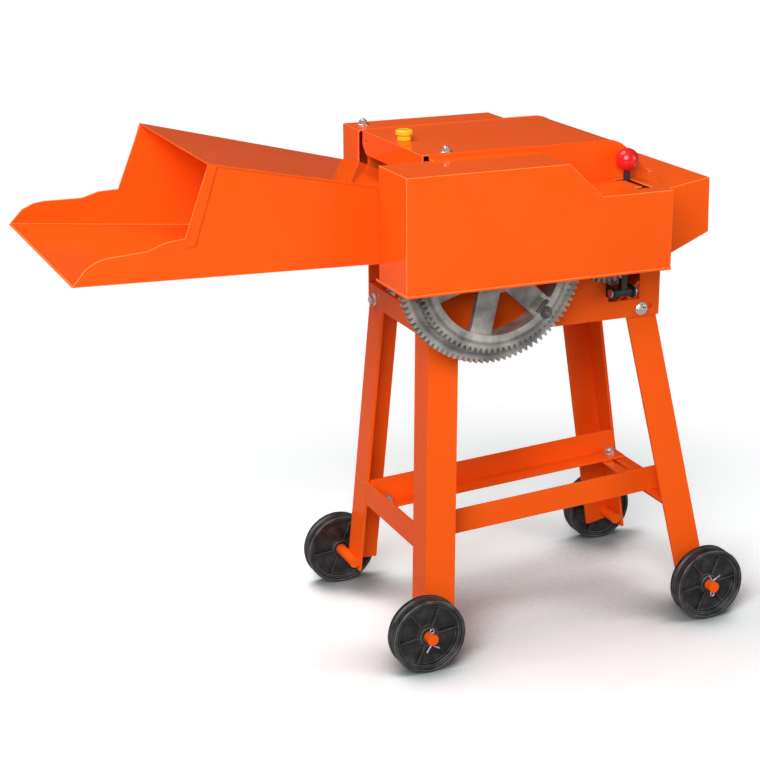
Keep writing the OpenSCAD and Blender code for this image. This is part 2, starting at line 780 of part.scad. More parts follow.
module rear_cover_nut() {
    placed() color(zinc) top_nut(rear_nut_x, rear_nut_y, rear_z1, 12);
}

// Feed trough: a tapered sheet trough with low walls at the tip and a hood over its inner part

module trough_plan(grow, over = 0) {
    w0 = trough_tip_w + over * trough_taper + grow;
    w1 = trough_end_w - over * trough_taper + grow;
    polygon([[-trough_len - over, -w0], [over, -w1], [over, w1], [-trough_len - over, w0]]);
}

module floor_line(lift, top) {
    polygon([[-trough_len - 1, trough_tip_z + floor_tilt + lift], [1, trough_z - floor_tilt + lift],
        [1, top], [-trough_len - 1, top]]);
}

function floor_z(x) = trough_z - floor_tilt * x;
wall_lead = trough_open * 0.23;
step_lead = 55;
step_end = 30;
step_x0 = hood_x0 - step_lead;
step_x1 = hood_x0 - step_end;
wall_rise = 0.05;
roof_pts = [[hood_x1, hood_front_z], [0, hood_back_z]];

module trough_outline() {
    polygon([[-trough_len, trough_tip_z],
        [-trough_len + wall_lead * 0.55, trough_tip_z + wall_low * 0.68],
        [-trough_len + wall_lead, trough_tip_z + wall_low * 0.92],
        [-trough_len + wall_lead * 1.4, wall_z], [step_x0, wall_z + wall_low * wall_rise],
        [step_x1, wall_z + wall_step * 0.85], [hood_x0 - 6, wall_z + wall_step],
            [hood_x0, wall_z + wall_step],
        inner_pt(roof_pts, 0, sheet_t), inner_pt(roof_pts, 1, sheet_t), [0, trough_z]]);
}

module feed_trough() {
    placed() color(orange) difference() {
        intersection() {
            linear_extrude(plate_top + trough_len) trough_plan(0);
            along_y(-2 * trough_tip_w, 2 * trough_tip_w) trough_outline();
        }
        intersection() {
            translate([0, 0, trough_z]) linear_extrude(plate_top)
                trough_plan(-sheet_t / cos(trough_yaw), 1);
            along_y(-2 * trough_tip_w, 2 * trough_tip_w) floor_line(sheet_t, plate_top + trough_len);
        }
    }
}

// Roof of the hood with the strips folded down along its front edge
module feed_hood() {
    strip = [[hood_x0, wall_z], [hood_x1, hood_front_z], [hood_x1 + hood_strip, hood_front_z],
        [hood_x0 + hood_strip, wall_z]];
    placed() color(orange) {
        intersection() {
            linear_extrude(plate_top + trough_len) trough_plan(sheet_t / cos(trough_yaw));
            along_y(-2 * trough_tip_w, 2 * trough_tip_w) polygon(sheet_pts(roof_pts, sheet_t));
        }
        intersection() {
            difference() {
                linear_extrude(plate_top + trough_len) trough_plan(sheet_t / cos(trough_yaw));
                translate([0, 0, -1]) linear_extrude(2 * plate_top) trough_plan(0, 1);
            }
            along_y(-2 * trough_tip_w, 2 * trough_tip_w) intersection() {
                polygon(strip);
                polygon([roof_pts[0] + [-2 * hood_rake, 0], roof_pts[0], roof_pts[1], [0, 0],
                    [-trough_len, 0]]);
            }
        }
    }
}

// Discharge chute: a closed sheet duct between the side plates
module discharge_chute() {
    p = chute_path;
    n0 = right_n(p[1], p[0]);
    n1 = right_n(p[3], p[2]);
    placed() color(orange) difference() {
        along_y(-plate_in, plate_in) polygon(p);
        along_y(-plate_in + sheet_t, plate_in - sheet_t) polygon([
            p[0] + sheet_t * n0 - unit(p[1] - p[0]), p[1] + sheet_t * n0 + unit(p[1] - p[0]),
            p[2] + sheet_t * n1 + unit(p[2] - p[3]), p[3] + sheet_t * n1 - unit(p[2] - p[3])]);
    }
}

// Curved casing under the rotor
casing_gap = 4;
casing_t = 2;
module rotor_casing() {
    r = rotor_r + casing_gap;
    placed() color(orange) intersection() {
        difference() {
            y_rod(main_x, main_z, r + casing_t, -plate_in, plate_in);
            y_rod(main_x, main_z, r, -plate_in - 1, plate_in + 1);
        }
        block([main_x - r - casing_t, -plate_in, frame_z], [chute_x0 - 1, plate_in, main_z - 22]);
    }
}

// Lid with its hinge, nut and cap

lid_nut_x = 33;
lid_nut_y = -lid_w + 10;
cap_x = 16;
cap_y = 11;

module lid() {
    placed() color(orange) difference() {
        union() {
            along_y(-lid_w, lid_w) polygon(sheet_pts(lid_path, sheet_t));
            y_rod(hinge_x, hinge_z, knuckle_r, -lid_w, lid_w);
            translate([-lid_reach, 0, 0]) rotate([90, 0, 90]) linear_extrude(sheet_t) polygon([
                [-plate_in, lid_z - lid_flange], [plate_in - 14, lid_z - lid_flange],
                [plate_in, lid_z - lid_flange + 14], [plate_in, lid_z], [-plate_in, lid_z]]);
        }
        y_rod(hinge_x, hinge_z, hinge_r + run_gap, -plate_out, plate_out);
        translate([lid_nut_x, lid_nut_y, lid_z - 10]) cylinder(r = bolt_r + bolt_gap, h = 20);
        translate([cap_x, cap_y, lid_z - 10]) cylinder(r = cap_stem_r + bolt_gap, h = 20);
        x_rod(plate_in - 12, lid_z - 17, 3, -lid_reach - 1, -lid_reach + sheet_t + 1);
    }
}

module lid_nut() {
    placed() color(zinc) top_nut(lid_nut_x, lid_nut_y, lid_z, 12);
}

cap_stem_r = 8;
module cap() {
    placed() color([1, 0.75, 0.1]) translate([cap_x, cap_y, 0]) {
        translate([0, 0, lid_z]) rotate_extrude()
            polygon([[0, 0], [cap_r - 2.5, 0], [cap_r - 2.5, cap_h * 0.45],
            [cap_r, cap_h * 0.55], [cap_r, cap_h - 1.5], [cap_r - 1.5, cap_h], [0, cap_h]]);
        translate([0, 0, lid_z - 8]) cylinder(r = cap_stem_r, h = 8);
    }
}

module hinge_pin() {
    placed() color(zinc) y_rod(hinge_x, hinge_z, hinge_r, -plate_out + 0.5, plate_out - 0.5);
}

// Shift lever: a ball-ended rod whose peg slides the pinions along the main shaft

hub_len = 30;
lever_hub_r = 7;
lever_pin_r = 4;
ear_t = 3;
ear_w = 20;
ear_gap = 0.5;
bar_w = 10;
bar_h = 60;

module lever_bracket() {
    placed() color(dark_steel)
        for (x = [lever_x - hub_len / 2 - ear_gap - ear_t, lever_x + hub_len / 2 + ear_gap])
            difference() {
        union() {
            block([x, lever_y, lever_z - ear_w / 2], [x + ear_t, -plate_out, lever_z + ear_w / 2]);
            x_rod(lever_y, lever_z, ear_w / 2, x, x + ear_t);
        }
        x_rod(lever_y, lever_z, lever_pin_r + bolt_gap, x - 1, x + ear_t + 1);
    }
}

module lever_pin() {
    reach = hub_len / 2 + ear_gap + ear_t;
    placed() color(zinc) {
        x_rod(lever_y, lever_z, lever_pin_r, lever_x - reach - 4, lever_x + reach + 4);
        x_rod(lever_y, lever_z, lever_pin_r + 3, lever_x + reach, lever_x + reach + 4);
        x_rod(lever_y, lever_z, lever_pin_r + 3, lever_x - reach - 4, lever_x - reach);
    }
}

module shift_lever() {
    placed() color(dark_steel) difference() {
        union() {
            x_rod(lever_y, lever_z, lever_hub_r, lever_x - hub_len / 2, lever_x + hub_len / 2);
            block([lever_x - bar_w / 2, lever_y - bar_w / 2, lever_z],
                [lever_x + bar_w / 2, lever_y + bar_w / 2, lever_z + bar_h]);
            translate([lever_x, lever_y, lever_z])
                cylinder(r = lever_r, h = ball_z - lever_z - ball_r * 0.4);
            block([lever_x - lever_r, fork_y - fork_r, main_z - fork_r],
                [lever_x + lever_r, lever_y, main_z + fork_r]);
            x_rod(fork_y, main_z, fork_r, main_x + fork_end_r, lever_x);
        }
        x_rod(lever_y, lever_z, lever_pin_r + run_gap, lever_x - hub_len, lever_x + hub_len);
    }
}

module ball() {
    placed() color([0.85, 0.06, 0.12]) difference() {
        translate([lever_x, lever_y, ball_z]) sphere(r = ball_r);
        translate([lever_x, lever_y, lever_z])
            cylinder(r = lever_r, h = ball_z - lever_z - ball_r * 0.4);
    }
}

// Sliding pinions with the groove for the lever's peg
module pinion_cluster() {
    placed() color(steel) difference() {
        union() {
            translate([main_x, 0, main_z]) {
                along_y(pinion_fast_y0, pinion_fast_y1) rotate(mesh_dir + 180 + 180 / pinion_fast_n)
                    polygon(gear_pts(gear_m, pinion_fast_n, backlash / 2));
                along_y(pinion_slow_y0, pinion_slow_y1) rotate(mesh_dir + 180 + 180 / pinion_slow_n)
                    polygon(gear_pts(gear_m, pinion_slow_n, backlash / 2));
            }
            y_rod(main_x, main_z, groove_r, pinion_fast_y1, pinion_slow_y0);
            y_rod(main_x, main_z, collar_r, pinion_fast_y1, fork_y - fork_w / 2);
            y_rod(main_x, main_z, collar_r, fork_y + fork_w / 2, pinion_slow_y0);
        }
        y_rod(main_x, main_z, main_shaft_r + run_gap, pinion_fast_y0 - 1, pinion_slow_y1 + 1);
    }
}

// Double feed gear: two toothed rings on one casting with six spokes
spoke_n = 6;
spoke_dir = -42;
spoke_t = 10;
gear_hub_r = 38;
ring_neck_r = ring_bore_r + 14;

module feed_gear() {
    mid_y = (fast_y0 + slow_y1) / 2;
    placed() color(steel) difference() {
        union() {
            difference() {
                union() {
                    translate([feed_x, 0, feed_z]) {
                        along_y(slow_y0, slow_y1) rotate(mesh_dir)
                            polygon(gear_pts(gear_m, ring_slow_n, backlash / 2));
                        along_y(fast_y0, fast_y1) rotate(mesh_dir)
                            polygon(gear_pts(gear_m, ring_fast_n, backlash / 2));
                    }
                    y_rod(feed_x, feed_z, ring_neck_r, fast_y1 - 1, slow_y0 + 1);
                }
                y_rod(feed_x, feed_z, ring_bore_r, fast_y0 - 1, slow_y1 + 1);
            }
            translate([feed_x, 0, feed_z]) for (i = [0 : spoke_n - 1])
                rotate([0, -spoke_dir - 360 * i / spoke_n, 0])
                block([gear_hub_r - 4, mid_y - spoke_t / 2, -spoke_w / 2],
                    [ring_bore_r + 4, mid_y + spoke_t / 2, spoke_w / 2]);
            y_rod(feed_x, feed_z, gear_hub_r, fast_y0 - 2, -gear_y0);
        }
        y_rod(feed_x, feed_z, roller_shaft_r + run_gap, fast_y0 - 10, 0);
    }
}

// Feed roller with straight ribs on its shaft
module roller(z, y0, y1) {
    barrel = plate_in - side_gap;
    translate([feed_x, 0, z]) {
        y_rod(0, 0, roller_shaft_r, y0, y1);
        along_y(-barrel, barrel) {
            circle(r = roller_r - rib_h);
            for (i = [0 : roller_rib_n - 1]) rotate(360 * i / roller_rib_n) translate([0, -rib_w / 2])
                square([roller_r, rib_w]);
        }
    }
}

rib_h = 7;
rib_w = 5;
shaft_stub = 8;

module lower_roller() {
    placed() color(steel) roller(feed_z, fast_y0 - shaft_stub, gear_y0 + roller_gear_w + shaft_stub);
}

module upper_roller() {
    placed() color(steel)
        roller(upper_z, -plate_out - housing_d - housing_gap, gear_y0 + roller_gear_w + shaft_stub);
}

module roller_gear(z, turn) {
    placed() color(steel) difference() {
        translate([feed_x, 0, z]) along_y(gear_y0, gear_y0 + roller_gear_w) rotate(turn)
            polygon(gear_pts(roller_gear_m, roller_gear_n, backlash, 0.8));
        y_rod(feed_x, z, roller_shaft_r + run_gap, gear_y0 - 1, gear_y0 + roller_gear_w + 1);
    }
}

module gear_lower() {
    roller_gear(feed_z, 90);
}

module gear_upper() {
    roller_gear(upper_z, -90 + 180 / roller_gear_n);
}

// Bearing housings on the outer faces of the side plates
module housing(x, z, r, w, d) {
    difference() {
        union() {
            block([x - w / 2, -plate_out - d / 2, z - w / 2], [x + w / 2, -plate_out, z + w / 2]);
            y_rod(x, z, boss_r, -plate_out - d, -plate_out);
        }
        y_rod(x, z, r + run_gap, -plate_out - d - 1, -plate_out + 1);
    }
}

module roller_bearings() {
    placed() color(dark_steel) for (s = [0, 1]) mirror([0, s, 0]) for (z = [feed_z, upper_z])
        housing(feed_x, z, roller_shaft_r, housing_w, housing_d);
}

module main_bearings() {
    placed() color(dark_steel) {
        housing(main_x, main_z, main_shaft_r, main_housing_w, main_housing_d);
        mirror([0, 1, 0]) housing(main_x, main_z, main_shaft_r, main_housing_w, housing_d);
    }
}

// Main shaft with the rotor, its knives and the drive pulley

shaft_front = 15;
sleeve_r = main_shaft_r + 12;
disc_t = 14;
disc_y = 78;
disc_rim = 14;
knife_lead = 30;
arm_w = 44;
knife_w = 46;
knife_len = 2 * (plate_in - side_gap - 6);
knife_tilt = 24;
knife_seat = rotor_r - 26;
knife_bolt_r = 5;
knife_bolt_len = 26;

module main_shaft() {
    placed() color(steel)
        y_rod(main_x, main_z, main_shaft_r, cover_y0 + sheet_t + shaft_front, pulley_y0 + pulley_w + 6);
}

// Places children on each knife seat, with Y along the shaft and Z outward
module each_knife() {
    translate([main_x, 0, main_z]) for (i = [0 : knife_n - 1])
        rotate([0, 360 * i / knife_n + knife_lead, 0])
        translate([0, 0, knife_seat]) rotate([0, knife_tilt, 0]) children();
}

module rotor() {
    barrel = plate_in - side_gap - 8;
    seat_drop = arm_w / 2 * tan(knife_tilt);
    arm = [
        [-arm_w / 2, 0],
        [arm_w / 2, 0],
        [arm_w / 2, knife_seat - seat_drop],
        [-arm_w / 2, knife_seat + seat_drop]
    ];
    placed() color(dark_steel) difference() {
        union() {
            y_rod(main_x, main_z, sleeve_r, -barrel, barrel);
            translate([main_x, 0, main_z]) for (s = [-1, 1])
                along_y(s * disc_y - disc_t / 2, s * disc_y + disc_t / 2) {
                    circle(r = sleeve_r + disc_rim);
                    for (i = [0 : knife_n - 1]) rotate(-360 * i / knife_n - knife_lead) polygon(arm);
                }
        }
        y_rod(main_x, main_z, main_shaft_r + run_gap, -plate_in, plate_in);
        each_knife() for (s = [-1, 1]) translate([0, s * disc_y, -knife_bolt_len - 2])
            cylinder(r = knife_bolt_r + bolt_gap, h = 2 * knife_bolt_len);
    }
}

module knives() {
    placed() color(steel) intersection() {
        each_knife() difference() {
            translate([-knife_w / 2, -knife_len / 2, 0]) cube([knife_w + 14, knife_len, knife_t]);
            for (s = [-1, 1]) translate([0, s * disc_y, -1])
                cylinder(r = knife_bolt_r + bolt_gap, h = knife_t + 2);
        }
        y_rod(main_x, main_z, rotor_r, -plate_in, plate_in);
    }
}

module knife_bolts() {
    placed() color(zinc) each_knife() for (s = [-1, 1]) translate([0, s * disc_y, 0]) {
        translate([0, 0, -knife_bolt_len]) cylinder(r = knife_bolt_r, h = knife_bolt_len + knife_t);
        translate([0, 0, knife_t]) cylinder(r = 2 * knife_bolt_r - 1, h = 5, $fn = 6);
    }
}

groove_n = 2;
groove_w = 14;
groove_d = 11;

module pulley() {
    pitch = 16;
    placed() color([0.2, 0.2, 0.22]) difference() {
        y_rod(main_x, main_z, pulley_r, pulley_y0, pulley_y0 + pulley_w);
        for (i = [0 : groove_n - 1])
            translate([main_x, pulley_y0 + pulley_w / 2 + (i - (groove_n - 1) / 2) * pitch, main_z])
            rotate([90, 0, 0]) rotate_extrude($fn = 96)
                polygon([[pulley_r + 1, -groove_w / 2], [pulley_r + 1, groove_w / 2],
                [pulley_r - groove_d, groove_w / 2 - 4], [pulley_r - groove_d, -groove_w / 2 + 4]]);
        y_rod(main_x, main_z, pulley_r - groove_d - 8, pulley_y0 + pulley_w - 12,
            pulley_y0 + pulley_w + 1);
        y_rod(main_x, main_z, main_shaft_r + run_gap, pulley_y0 - 1, pulley_y0 + pulley_w + 1);
    }
    placed() color([0.2, 0.2, 0.22]) difference() {
        y_rod(main_x, main_z, main_shaft_r + 12, pulley_y0 + pulley_w - 12, pulley_y0 + pulley_w);
        y_rod(main_x, main_z, main_shaft_r + run_gap, pulley_y0 - 1, pulley_y0 + pulley_w + 1);
    }
}

// Shear bar and fixed knife between the rollers and the rotor
bar_t = 16;
edge_t = 6;
edge_gap = 1.5;
edge_w = 28;
edge_z = feed_z + roller_r;
edge_x = main_x - sqrt(rotor_r * rotor_r - (edge_z - main_z) * (edge_z - main_z)) - edge_gap;

module shear_bar() {
    placed() color(orange)
        block([edge_x - edge_w, -plate_in, edge_z - edge_t - bar_t],
            [edge_x - 8, plate_in, edge_z - edge_t]);
}

module fixed_knife() {
    placed() color(steel) along_y(-plate_in + 0.5, plate_in - 0.5)
        polygon([[edge_x - edge_w, edge_z - edge_t], [edge_x - 4, edge_z - edge_t],
        [edge_x, edge_z], [edge_x - edge_w, edge_z]]);
}

side_plate_front();
side_plate_rear();
end_rail_feed();
end_rail_out();
leg_fl();
leg_fr();
leg_bl();
leg_br();
brace_feed();
brace_out();
rail_front();
rail_rear();
rail_bolts();
leg_bolts();
rail_end_bolts();
axle_stubs();
split_pins();
gear_cover();
rear_cover();
rear_cover_nut();
feed_trough();
feed_hood();
discharge_chute();
rotor_casing();
roller_bearings();
main_bearings();
shear_bar();
fixed_knife();
lever_bracket();
lever_pin();
hinge_pin();
lid();
lid_nut();
cap();
wheel_fl();
wheel_fr();
wheel_bl();
wheel_br();
main_shaft();
rotor();
knives();
knife_bolts();
pulley();
pinion_cluster();
feed_gear();
lower_roller();
gear_lower();
upper_roller();
gear_upper();
shift_lever();
ball();
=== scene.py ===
import math

import bmesh
import bpy
from mathutils import Matrix, Vector


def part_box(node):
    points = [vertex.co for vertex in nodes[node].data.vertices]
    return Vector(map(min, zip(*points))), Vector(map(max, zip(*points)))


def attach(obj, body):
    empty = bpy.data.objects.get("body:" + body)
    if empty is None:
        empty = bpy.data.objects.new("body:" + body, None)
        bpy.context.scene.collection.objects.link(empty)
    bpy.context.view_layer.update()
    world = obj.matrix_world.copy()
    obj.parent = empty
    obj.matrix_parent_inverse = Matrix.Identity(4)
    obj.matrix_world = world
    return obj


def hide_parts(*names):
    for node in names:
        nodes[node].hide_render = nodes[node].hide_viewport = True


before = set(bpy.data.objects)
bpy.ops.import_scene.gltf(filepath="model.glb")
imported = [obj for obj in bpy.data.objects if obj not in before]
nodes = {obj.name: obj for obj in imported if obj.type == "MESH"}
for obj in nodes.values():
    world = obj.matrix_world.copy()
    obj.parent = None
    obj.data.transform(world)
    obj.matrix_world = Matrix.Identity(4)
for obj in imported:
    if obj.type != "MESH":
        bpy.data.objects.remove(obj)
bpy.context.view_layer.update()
scene = bpy.context.scene
scene.view_settings.view_transform = "Standard"

# ---------------------------------------------------------------------------
# The camera stands where the photograph was taken from: to the left of the
# front, a little above the machine, with a long lens.
photo_px = 760.0
focal_px = 1846.81
yaw = math.radians(22.2645)
pitch = math.radians(17.743)
roll = math.radians(-0.345)
ahead = Vector((math.sin(yaw) * math.cos(pitch), math.cos(yaw) * math.cos(pitch), -math.sin(pitch)))
level = Vector((math.cos(yaw), -math.sin(yaw), 0.0))
rise = level.cross(ahead)
right = math.cos(roll) * level + math.sin(roll) * rise
up = -math.sin(roll) * level + math.cos(roll) * rise
camera_data = bpy.data.cameras.new("photo_camera")
camera_data.sensor_fit = "HORIZONTAL"
camera_data.sensor_width = 36.0
camera_data.lens = camera_data.sensor_width * focal_px / photo_px
camera = bpy.data.objects.new("photo_camera", camera_data)
stand_point = Matrix.Translation((-1.06397, -2.5457, 1.30058))
camera.matrix_world = stand_point @ Matrix((right, up, -ahead)).transposed().to_4x4()
scene.collection.objects.link(camera)
scene.camera = camera

# ---------------------------------------------------------------------------
# A white studio floor: it takes the machine's shadow close by, deepened by a
# painted shadow that greys it where the machine shelters it from above, and runs
# out to plain white farther off, where metal and paint mirror it too.
floor_half = 30.0
floor_mesh = bpy.data.meshes.new("floor")
floor_mesh.from_pydata(
    [(x * floor_half, y * floor_half, 0) for x, y in ((-1, -1), (1, -1), (1, 1), (-1, 1))],
    [], [(0, 1, 2, 3)],
)
floor = bpy.data.objects.new("floor", floor_mesh)
scene.collection.objects.link(floor)
floor_white = bpy.data.materials.new("floor_white")
floor_white.use_nodes = True
tree = floor_white.node_tree
tree.nodes.clear()
output = tree.nodes.new("ShaderNodeOutputMaterial")
near = tree.nodes.new("ShaderNodeBsdfDiffuse")
far = tree.nodes.new("ShaderNodeEmission")
blend = tree.nodes.new("ShaderNodeMixShader")
path = tree.nodes.new("ShaderNodeLightPath")
mirrored = tree.nodes.new("ShaderNodeMath")
mirrored.operation = "MAXIMUM"
tree.links.new(path.outputs["Is Glossy Ray"], mirrored.inputs[0])
tree.links.new(path.outputs["Is Transmission Ray"], mirrored.inputs[1])
seen = tree.nodes.new("ShaderNodeMath")
seen.operation = "MULTIPLY_ADD"
seen.inputs[1].default_value = 0.14
seen.use_clamp = True
tree.links.new(mirrored.outputs["Value"], seen.inputs[0])
tree.links.new(path.outputs["Is Camera Ray"], seen.inputs[2])
# Painted shadow: seen by the camera, the floor turns from white to grey where occlusion finds the machine above
# it.
shelter = tree.nodes.new("ShaderNodeAmbientOcclusion")
shelter.samples = 24
shelter.inputs["Distance"].default_value = 0.6
open_sky = tree.nodes.new("ShaderNodeMapRange")
open_sky.interpolation_type = "SMOOTHSTEP"
open_sky.inputs["From Min"].default_value = 0.43
open_sky.inputs["From Max"].default_value = 0.85
tree.links.new(shelter.outputs["AO"], open_sky.inputs["Value"])
lit = tree.nodes.new("ShaderNodeMix")
lit.data_type = "RGBA"
lit.inputs["A"].default_value = (0.32, 0.355, 0.358, 1.0)
lit.inputs["B"].default_value = (1.33, 1.39, 1.395, 1.0)
tree.links.new(open_sky.outputs["Result"], lit.inputs["Factor"])
grey = tree.nodes.new("ShaderNodeMix")
grey.data_type = "RGBA"
grey.inputs["A"].default_value = (0.5, 0.5, 0.5, 1.0)
tree.links.new(lit.outputs["Result"], grey.inputs["B"])
tree.links.new(path.outputs["Is Camera Ray"], grey.inputs["Factor"])
tree.links.new(grey.outputs["Result"], near.inputs["Color"])
place = tree.nodes.new("ShaderNodeTexCoord")
middle = tree.nodes.new("ShaderNodeVectorMath")
middle.operation = "DISTANCE"
middle.inputs[1].default_value = (0.25, 0.1, 0.0)
tree.links.new(place.outputs["Object"], middle.inputs[0])
reach = tree.nodes.new("ShaderNodeMapRange")
reach.interpolation_type = "SMOOTHSTEP"
reach.inputs["From Min"].default_value = 0.45
reach.inputs["From Max"].default_value = 1.0
tree.links.new(middle.outputs["Value"], reach.inputs["Value"])
share = tree.nodes.new("ShaderNodeMath")
share.operation = "MULTIPLY"
tree.links.new(reach.outputs["Result"], share.inputs[0])
tree.links.new(seen.outputs["Value"], share.inputs[1])
tree.links.new(share.outputs["Value"], blend.inputs["Fac"])
tree.links.new(near.outputs["BSDF"], blend.inputs[1])
tree.links.new(far.outputs["Emission"], blend.inputs[2])
tree.links.new(blend.outputs["Shader"], output.inputs["Surface"])
floor.data.materials.append(floor_white)

# ---------------------------------------------------------------------------
# Studio light: one broad soft box before and above the machine on the left, a
# weak one on the right, a little from above, and a dim room round them.
world = bpy.data.worlds.new("studio")
scene.world = world
world.use_nodes = True
tree = world.node_tree
room = tree.nodes["Background"]
room.inputs["Color"].default_value = (1.0, 1.0, 1.0, 1.0)
path = tree.nodes.new("ShaderNodeLightPath")
mirrored = tree.nodes.new("ShaderNodeMath")
mirrored.operation = "MAXIMUM"
tree.links.new(path.outputs["Is Glossy Ray"], mirrored.inputs[0])
tree.links.new(path.outputs["Is Transmission Ray"], mirrored.inputs[1])
dim = tree.nodes.new("ShaderNodeMath")
dim.operation = "MULTIPLY_ADD"
dim.inputs[1].default_value = 0.02
dim.inputs[2].default_value = 0.045
tree.links.new(mirrored.outputs["Value"], dim.inputs[0])
level_seen = tree.nodes.new("ShaderNodeMath")
level_seen.operation = "MAXIMUM"
tree.links.new(dim.outputs["Value"], level_seen.inputs[0])
tree.links.new(path.outputs["Is Camera Ray"], level_seen.inputs[1])
tree.links.new(level_seen.outputs["Value"], room.inputs["Strength"])
for name, stands, size, power in (
    ("soft_box", (-2.4, -3.2, 3.0), 2.8, 228.0),
    ("side_fill", (2.8, -2.4, 1.6), 1.8, 34.0),
    ("overhead", (-0.9, 0.9, 3.2), 1.8, 52.0),
):
    lamp = bpy.data.lights.new(name, "AREA")
    lamp.shape = "SQUARE"
    lamp.size = size
    lamp.energy = power
    lamp_object = bpy.data.objects.new(name, lamp)
    aim = Vector((0.05, 0.0, 0.5)) - Vector(stands)
    lamp_object.matrix_world = Matrix.Translation(stands) @ aim.to_track_quat("-Z", "Y").to_matrix().to_4x4()
    scene.collection.objects.link(lamp_object)

# ---------------------------------------------------------------------------
# Stand, housing, trough, covers and chute: cut and folded steel sheet and angle
# iron, welded and sprayed with one coat of gloss orange enamel. The bevelled
# folds and cut edges take a paler enamel as a painted highlight.
spray = bpy.data.node_groups.new("sprayed_enamel", "ShaderNodeTree")
spray.interface.new_socket("Deep", in_out="INPUT", socket_type="NodeSocketColor")
spray.interface.new_socket("Pale", in_out="INPUT", socket_type="NodeSocketColor")
spray.interface.new_socket("Colour", in_out="OUTPUT", socket_type="NodeSocketColor")
spray.interface.new_socket("Roughness", in_out="OUTPUT", socket_type="NodeSocketFloat")
spray.interface.new_socket("Normal", in_out="OUTPUT", socket_type="NodeSocketVector")
given = spray.nodes.new("NodeGroupInput")
result = spray.nodes.new("NodeGroupOutput")
place = spray.nodes.new("ShaderNodeTexCoord")
cloud = spray.nodes.new("ShaderNodeTexNoise")
cloud.inputs["Scale"].default_value = 6.0
cloud.inputs["Detail"].default_value = 3.0
ripple = spray.nodes.new("ShaderNodeTexNoise")
ripple.inputs["Scale"].default_value = 55.0
ripple.inputs["Detail"].default_value = 1.0
peel = spray.nodes.new("ShaderNodeTexNoise")
peel.inputs["Scale"].default_value = 420.0
peel.inputs["Detail"].default_value = 1.0
for texture in (cloud, ripple, peel):
    spray.links.new(place.outputs["Object"], texture.inputs["Vector"])
tone = spray.nodes.new("ShaderNodeMix")
tone.data_type = "RGBA"
spray.links.new(cloud.outputs["Fac"], tone.inputs["Factor"])
spray.links.new(given.outputs["Deep"], tone.inputs["A"])
spray.links.new(given.outputs["Pale"], tone.inputs["B"])
gloss = spray.nodes.new("ShaderNodeMapRange")
gloss.inputs["From Min"].default_value = 0.3
gloss.inputs["From Max"].default_value = 0.7
gloss.inputs["To Min"].default_value = 0.07
gloss.inputs["To Max"].default_value = 0.15
spray.links.new(ripple.outputs["Fac"], gloss.inputs["Value"])
wave = spray.nodes.new("ShaderNodeBump")
wave.inputs["Strength"].default_value = 0.014
wave.inputs["Distance"].default_value = 0.002
spray.links.new(ripple.outputs["Fac"], wave.inputs["Height"])
skin = spray.nodes.new("ShaderNodeBump")
skin.inputs["Strength"].default_value = 0.015
skin.inputs["Distance"].default_value = 0.0004
spray.links.new(peel.outputs["Fac"], skin.inputs["Height"])
spray.links.new(wave.outputs["Normal"], skin.inputs["Normal"])
spray.links.new(tone.outputs["Result"], result.inputs["Colour"])
spray.links.new(gloss.outputs["Result"], result.inputs["Roughness"])
spray.links.new(skin.outputs["Normal"], result.inputs["Normal"])


def enamel(name, deep, pale):
    material = bpy.data.materials.new(name)
    material.use_nodes = True
    shader = material.node_tree.nodes["Principled BSDF"]
    shader.inputs["Specular IOR Level"].default_value = 0.07
    sprayed = material.node_tree.nodes.new("ShaderNodeGroup")
    sprayed.node_tree = spray
    sprayed.inputs["Deep"].default_value = (*deep, 1.0)
    sprayed.inputs["Pale"].default_value = (*pale, 1.0)
    material.node_tree.links.new(sprayed.outputs["Colour"], shader.inputs["Base Color"])
    material.node_tree.links.new(sprayed.outputs["Roughness"], shader.inputs["Roughness"])
    material.node_tree.links.new(sprayed.outputs["Normal"], shader.inputs["Normal"])
    return material


def dress(node, finish, edge_highlight=None, edge=0.0008):
    piece = nodes[node]
    piece.data.materials.clear()
    piece.data.materials.append(finish)
    weld = piece.modifiers.new("weld", "WELD")
    weld.merge_threshold = 0.00002
    flat = piece.modifiers.new("flat", "DECIMATE")
    flat.decimate_type = "DISSOLVE"
    flat.angle_limit = math.radians(0.4)
    fold = piece.modifiers.new("fold", "BEVEL")
    fold.width = edge
    fold.segments = 2
    fold.limit_method = "ANGLE"
    fold.angle_limit = math.radians(32)
    # The bevel faces take the paler finish: a painted highlight along folds and edges.
    if edge_highlight:
        piece.data.materials.append(edge_highlight)
        fold.material = 1
    shading = piece.modifiers.new("shading", "WEIGHTED_NORMAL")
    shading.weight = 80


orange = enamel("orange_enamel", (0.93, 0.098, 0.005), (0.98, 0.124, 0.010))
# Paler, yellower enamel for the bevelled folds and edges: painted highlight.
orange_painted_highlight = enamel("orange_enamel_painted_highlight", (1.0, 0.19, 0.03), (1.0, 0.34, 0.12))
for node in (
    "side_plate_front", "side_plate_rear", "end_rail_feed", "end_rail_out", "leg_fl", "leg_fr", "leg_bl", "leg_br",
    "brace_feed", "brace_out", "rail_front", "rail_rear", "axle_stubs", "gear_cover", "rear_cover", "feed_trough",
    "feed_hood", "discharge_chute", "rotor_casing", "lid", "shear_bar", "hinge_pin",
):
    dress(node, orange, orange_painted_highlight)

